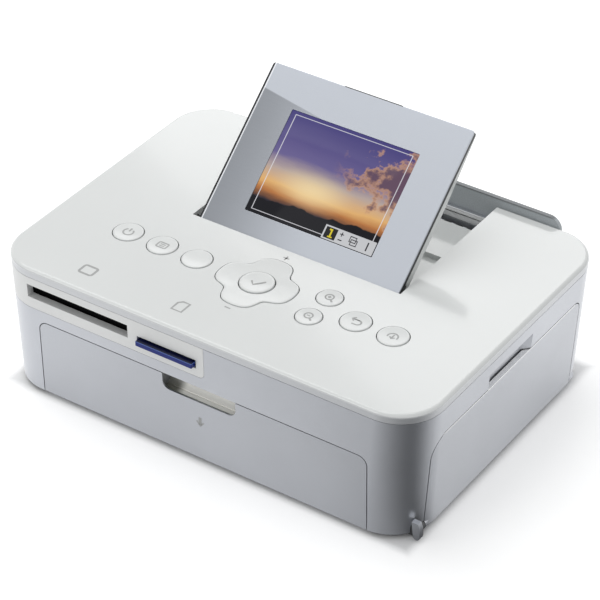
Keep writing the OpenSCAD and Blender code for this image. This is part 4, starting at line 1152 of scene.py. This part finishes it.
class PRINTER_OT_casing(bpy.types.Operator):
    """Top cover, side casing, card slot insert, tray, base, rear panel, feet and screws"""

    bl_idname = "printer.casing"
    bl_label = "Casing"

    def execute(self, context):
        edge = sizes().edge
        dressed("top_cover", edge * 0.8)
        dressed("side_casing", edge, split=True)
        dressed("card_bezel", edge, "pale_insert")
        dressed("lcd_well", edge)
        dressed("rear_panel", edge * 1.6, segments=3, split=True)
        dressed("base_tray", edge, "base_paint")
        dressed("rubber_feet", edge * 1.5)
        for node in ("case_screws", "ink_door_pins"):
            coat(node)
        return {"FINISHED"}


class PRINTER_OT_doors(bpy.types.Operator):
    """Front paper door and side ink door"""

    bl_idname = "printer.doors"
    bl_label = "Doors"

    def execute(self, context):
        dressed("front_door", sizes().edge, "paper_door_paint")
        dressed("ink_door", sizes().edge * 1.6, "ink_door_paint", segments=3)
        return {"FINISHED"}


class PRINTER_OT_screen(bpy.types.Operator):
    """Tilting screen: face plate, display, black frame and rear cover"""

    bl_idname = "printer.screen"
    bl_label = "Screen unit"

    def execute(self, context):
        self.plate()
        self.display()
        dressed("lcd_frame", sizes().fine_edge * 1.5)
        dressed("lcd_back_cover", sizes().edge * 1.5, segments=3)
        coat("lcd_panel")
        return {"FINISHED"}

    def plate(self):
        """The face plate with its window, from its flat drawing."""
        near_edge, thick, window_corner, edge = -1.4, 0.8, 0.35, 0.16
        half = SCREEN_W / 2
        outline = round_cornered(-half, near_edge, half, SCREEN_L, sizes().plate_corner / MM)
        plate = prism("lcd_front_plate_finish", outline, FACE_Z - thick, FACE_Z)
        x, y, w, h = WINDOW
        cut(plate, prism("cutter", round_cornered(x, y, x + w, y + h, window_corner, 3), 0.0, 2 * FACE_Z))
        plate.data.transform(screen_place())
        soften(plate, edge * MM)
        settle(plate, "lcd_front_plate")

    def display(self):
        """The display's glass in the window, with the picture laid across it."""
        gap, thick, sunk, edge = 0.1, 1.2, 0.2, 0.08
        x, y, w, h = WINDOW
        x0, x1, y0, y1 = x + gap, x + w - gap, y + gap, y + h - gap
        high = FACE_Z - sunk
        shape = bmesh.new()
        picture = shape.loops.layers.uv.new("picture")
        corners = ((x0, y0), (x1, y0), (x1, y1), (x0, y1))
        verts = [shape.verts.new((a * MM, b * MM, c * MM)) for c in (high - thick, high) for a, b in corners]
        for side in ((3, 2, 1, 0), (4, 5, 6, 7), (0, 1, 5, 4), (1, 2, 6, 5), (2, 3, 7, 6), (3, 0, 4, 7)):
            face = shape.faces.new([verts[n] for n in side])
            for loop in face.loops:
                px, py = loop.vert.co.x / MM, loop.vert.co.y / MM
                loop[picture].uv = ((px - x0) / (x1 - x0), (py - y0) / (y1 - y0))
        glass = from_bmesh("display_finish", shape)
        glass.data.transform(screen_place())
        bevel = glass.modifiers.new("edges", "BEVEL")
        bevel.width = edge * MM
        bevel.segments = 2
        fix_modifiers(glass)
        smooth(glass)
        settle(glass, "lcd_window")


class PRINTER_OT_keys(bpy.types.Operator):
    """Round keys, four-way pad, centre key and what lies under them"""

    bl_idname = "printer.keys"
    bl_label = "Keys"

    def execute(self, context):
        for node, (x, y, radius) in SMALL_KEYS.items():
            self.key(node, (x, y), self.key_profile(radius))
        self.key("ok_button", (PAD_X, ROW_Y), self.centre_profile())
        pad = self.pad()
        smooth(pad)
        settle(pad, "nav_pad")
        coat("nav_pivot_ring")
        return {"FINISHED"}

    def key(self, node, centre, profile):
        """One turned key, which stands for its node."""
        key = lathe(node + "_finish", centre, profile)
        smooth(key)
        settle(key, node)

    def key_profile(self, radius):
        """A small key from the middle of its face over its rim and flange to its plunger."""
        wide, flange_top, flange_low = radius + 0.9, 52.7, 52.0
        plunger, plunger_low = 2.2, 51.75
        rounding = ((0.3, 0.005), (0.14, 0.05), (0.04, 0.17), (0.0, 0.35))
        face = [(radius * s, key_face(s)) for s in (0.0, 0.2, 0.4, 0.6, 0.75, 0.84, 0.9)]
        rim = [(radius - inset, KEY_TOP - drop) for inset, drop in rounding]
        flange = [(radius, flange_top), (wide, flange_top), (wide, flange_low), (plunger, flange_low)]
        return face + rim + flange + [(plunger, plunger_low), (0.0, plunger_low)]

    def centre_profile(self):
        """The centre key, in the same order, with its plunger in a hollow."""
        r = OK_RADIUS
        wide, flange_top, flange_low = r + 1, 51.9, 51.55
        plunger, plunger_low = 2.2, 51.75
        hollow = ((0.0, 0.35), (0.3, 0.33), (0.55, 0.24), (0.8, 0.09))
        rounding = ((0.35, 0.01), (0.15, 0.05), (0.04, 0.16), (0.0, 0.3))
        face = [(r * share, OK_TOP - drop) for share, drop in hollow]
        rim = [(r - inset, OK_TOP - drop) for inset, drop in rounding]
        flange = [(r, flange_top), (wide, flange_top), (wide, flange_low), (plunger, flange_low)]
        return face + rim + flange + [(plunger, plunger_low), (0.0, plunger_low)]

    def pad(self):
        """The four-way pad: rings from its foot up its lobed rim, over its slope and down its bore."""
        low, flange, flange_wide = 51.7, 52.3, 0.8
        waist, waist_curve = 3.8, 2.5
        bore, foot_bore = OK_RADIUS + 0.4, OK_RADIUS + 1.5
        crown = -0.9

        def lobe(a, grow):
            return PAD_RADIUS + grow - waist * ((1 - math.cos(4 * a)) / 2) ** waist_curve

        def slope(a, share):
            return (1 - share) * lobe(a, crown) + share * bore

        rim = ((0.0, 0.32), (-0.05, 0.14), (-0.16, 0.04), (-0.34, 0.01), (crown, 0.03))
        inwards = ((0.3, 0.16), (0.65, 0.26))
        lip = ((0.5, 0.28), (0.12, 0.3), (0.0, 0.42))
        outer = [(flange_wide, low), (flange_wide, flange), (0.0, flange)]
        outer += [(grow, KEY_TOP - drop) for grow, drop in rim]
        inner = [(bore + grow, KEY_TOP - drop) for grow, drop in lip]
        inner += [(bore, flange), (foot_bore, flange), (foot_bore, low)]
        steps = [(lambda a, grow=grow: lobe(a, grow), z) for grow, z in outer]
        steps += [(lambda a, share=share: slope(a, share), KEY_TOP - drop) for share, drop in inwards]
        steps += [(lambda a, r=r: r, z) for r, z in inner]
        shape = bmesh.new()
        rings = [round_points(shape, (PAD_X, ROW_Y), radius_at, z, PAD_POINTS) for radius_at, z in steps]
        join_rings(shape, rings + rings[:1])
        return from_bmesh("nav_pad_finish", shape)


class PRINTER_OT_marks(bpy.types.Operator):
    """Printed icons on the cover, the keys and the paper door"""

    bl_idname = "printer.marks"
    bl_label = "Printed icons"

    def execute(self, context):
        w = sizes().stroke / MM
        self.cover_icons(w)
        self.key_icons(w)
        self.lens_icon("icon_zoom_in", "zoom_in_button", w, True)
        self.lens_icon("icon_zoom_out", "zoom_out_button", w, False)
        self.paper_icons(w)
        return {"FINISHED"}

    def cover_icons(self, w):
        """Two card shapes before the card slots, plus and minus beside the pad."""
        printed("icon_wide_card", round_frame(5.6, 4.7, 0.9, w * 1.6), on_top(-53.9, -52.3), "top_cover")
        notched = [(-2.1, -2.7), (2.1, -2.7), (2.1, 2.7), (-0.8, 2.7), (-2.1, 1.4)]
        small_card = stroke(notched, w * 1.5, True)
        printed("icon_small_card", small_card, on_top(-14.3, -51.7), "top_cover")
        bar = stroke([(-1.2, 0), (1.2, 0)], w)
        upright = stroke([(0, -1.2), (0, 1.2)], w)
        printed("icon_plus", bar + upright, on_top(PAD_X, -7.3), "top_cover")
        printed("icon_minus", bar, on_top(PAD_X, -43.2), "top_cover")

    def key_icons(self, w):
        """An open ring with a bar, and a page with two lines."""
        power = stroke(arc(0, 0, 1.9, 125, 415), w * 1.1) + stroke([(0, 0.4), (0, 2.4)], w * 1.1)
        printed("icon_power", power, on_key("power_button"), "power_button")
        menu = round_frame(4.0, 3.0, 0.5, w)
        for y in (0.5, -0.5):
            menu += stroke([(-1.1, y), (1.1, y)], w * 0.8)
        printed("icon_menu", menu, on_key("menu_button"), "menu_button")

    def lens_icon(self, name, node, w, plus):
        """A magnifying lens with a minus or a plus in it."""
        lens = stroke(arc(-0.3, 0.4, 1.5, 0, 360), w) + stroke([(0.8, -0.7), (2.0, -1.9)], w * 1.2)
        lens += stroke([(-1.0, 0.4), (0.4, 0.4)], w * 0.8)
        if plus:
            lens += stroke([(-0.3, -0.3), (-0.3, 1.1)], w * 0.8)
        printed(name, lens, on_key(node), node)

    def paper_icons(self, w):
        """A turning arrow, a sheet coming out, a tick and the door's pull arrow."""
        back = stroke([(-1.9, 1.0), (0.9, 1.0)] + arc(0.9, -0.3, 1.3, 90, -90, 12) + [(-0.8, -1.6)], w)
        back += stroke([(-0.9, 2.1), (-2.0, 1.0), (-0.9, -0.1)], w)
        printed("icon_back", back, on_key("back_button"), "back_button")
        sheet = stroke(arc(0, -0.4, 1.9, 200, -20, 20), w) + stroke([(0, 0.9), (0, -1.5)], w)
        sheet += stroke([(-1.0, -0.6), (0, -1.6), (1.0, -0.6)], w)
        printed("icon_print", sheet, on_key("print_button"), "print_button")
        tick = stroke([(-2.3, 0.1), (-0.6, -1.7), (2.6, 1.9)], w * 1.3)
        printed("icon_confirm", tick, on_centre_key, "ok_button")
        pull = stroke([(0, 2.0), (0, -1.2)], w * 2.2) + stroke([(-1.5, 0.2), (0, -1.7), (1.5, 0.2)], w * 1.2)
        printed("icon_pull_down", pull, on_paper_door, "front_door")


class PRINTER_OT_electronics(bpy.types.Operator):
    """Memory card, card connectors, ports and circuit boards"""

    bl_idname = "printer.electronics"
    bl_label = "Card, ports and boards"

    def execute(self, context):
        fine = sizes().fine_edge
        dressed("memory_card", fine * 2.5)
        # the connector's dead black is painted shade inside the card slot
        dressed("cf_connector", fine, "connector_black", segments=1)
        for node in ("sd_connector", "usb_device_port", "usb_host_port", "dc_jack"):
            dressed(node, fine, segments=1)
        for node in ("button_board", "main_board", "io_board", "board_screws"):
            coat(node)
        for node in ("board_chips", "tact_switches"):
            coat(node, "board_parts")
        return {"FINISHED"}


class PRINTER_OT_engine(bpy.types.Operator):
    """Chassis, rollers, gears, motor and print head"""

    bl_idname = "printer.engine"
    bl_label = "Print engine"

    def execute(self, context):
        rollers = ("shaft_bushings", "platen_roller", "drive_roller", "pinch_roller", "feed_roller")
        drive = ("drive_motor", "motor_plate", "motor_pinion")
        gears = ("drive_gear", "idler_gear", "reversing_gear", "feed_gear")
        head = ("head_arm", "heat_sink", "thermal_head")
        for node in ("engine_chassis",) + rollers + drive + gears + head:
            coat(node)
        return {"FINISHED"}


class PRINTER_OT_ink(bpy.types.Operator):
    """Ink cassette, its spools and ribbon, and its latch"""

    bl_idname = "printer.ink"
    bl_label = "Ink cassette"

    def execute(self, context):
        dressed("ink_cassette", sizes().edge)
        dressed("cassette_latch", sizes().edge)
        for node in ("supply_spool", "take_up_spool", "supply_ribbon", "take_up_ribbon"):
            coat(node)
        return {"FINISHED"}


class PRINTER_PT_panel(bpy.types.Panel):
    """Lists what can be built and changed"""

    bl_idname = "PRINTER_PT_panel"
    bl_label = "Compact photo printer"
    bl_space_type = "VIEW_3D"
    bl_region_type = "UI"
    bl_category = "Printer"

    def draw(self, context):
        for step in STEPS:
            self.layout.operator(step.bl_idname)
        scene = context.scene
        for group in (scene.printer_colours, scene.printer_sizes, scene.printer_stage):
            box = self.layout.box()
            for name in group.__annotations__:
                box.prop(group, name)


STEPS = (
    PRINTER_OT_stage,
    PRINTER_OT_casing,
    PRINTER_OT_doors,
    PRINTER_OT_screen,
    PRINTER_OT_keys,
    PRINTER_OT_marks,
    PRINTER_OT_electronics,
    PRINTER_OT_engine,
    PRINTER_OT_ink,
)
GROUPS = (PrinterColours, PrinterSizes, PrinterStage)


def register():
    for item in GROUPS + STEPS + (PRINTER_PT_panel,):
        bpy.utils.register_class(item)
    bpy.types.Scene.printer_colours = bpy.props.PointerProperty(type=PrinterColours)
    bpy.types.Scene.printer_sizes = bpy.props.PointerProperty(type=PrinterSizes)
    bpy.types.Scene.printer_stage = bpy.props.PointerProperty(type=PrinterStage)


def unregister():
    del bpy.types.Scene.printer_colours
    del bpy.types.Scene.printer_sizes
    del bpy.types.Scene.printer_stage
    for item in reversed(GROUPS + STEPS + (PRINTER_PT_panel,)):
        bpy.utils.unregister_class(item)


def main():
    register()
    for step in STEPS:
        family, name = step.bl_idname.split(".")
        getattr(getattr(bpy.ops, family), name)()
    bpy.context.view_layer.update()


if __name__ == "__main__":
    main()
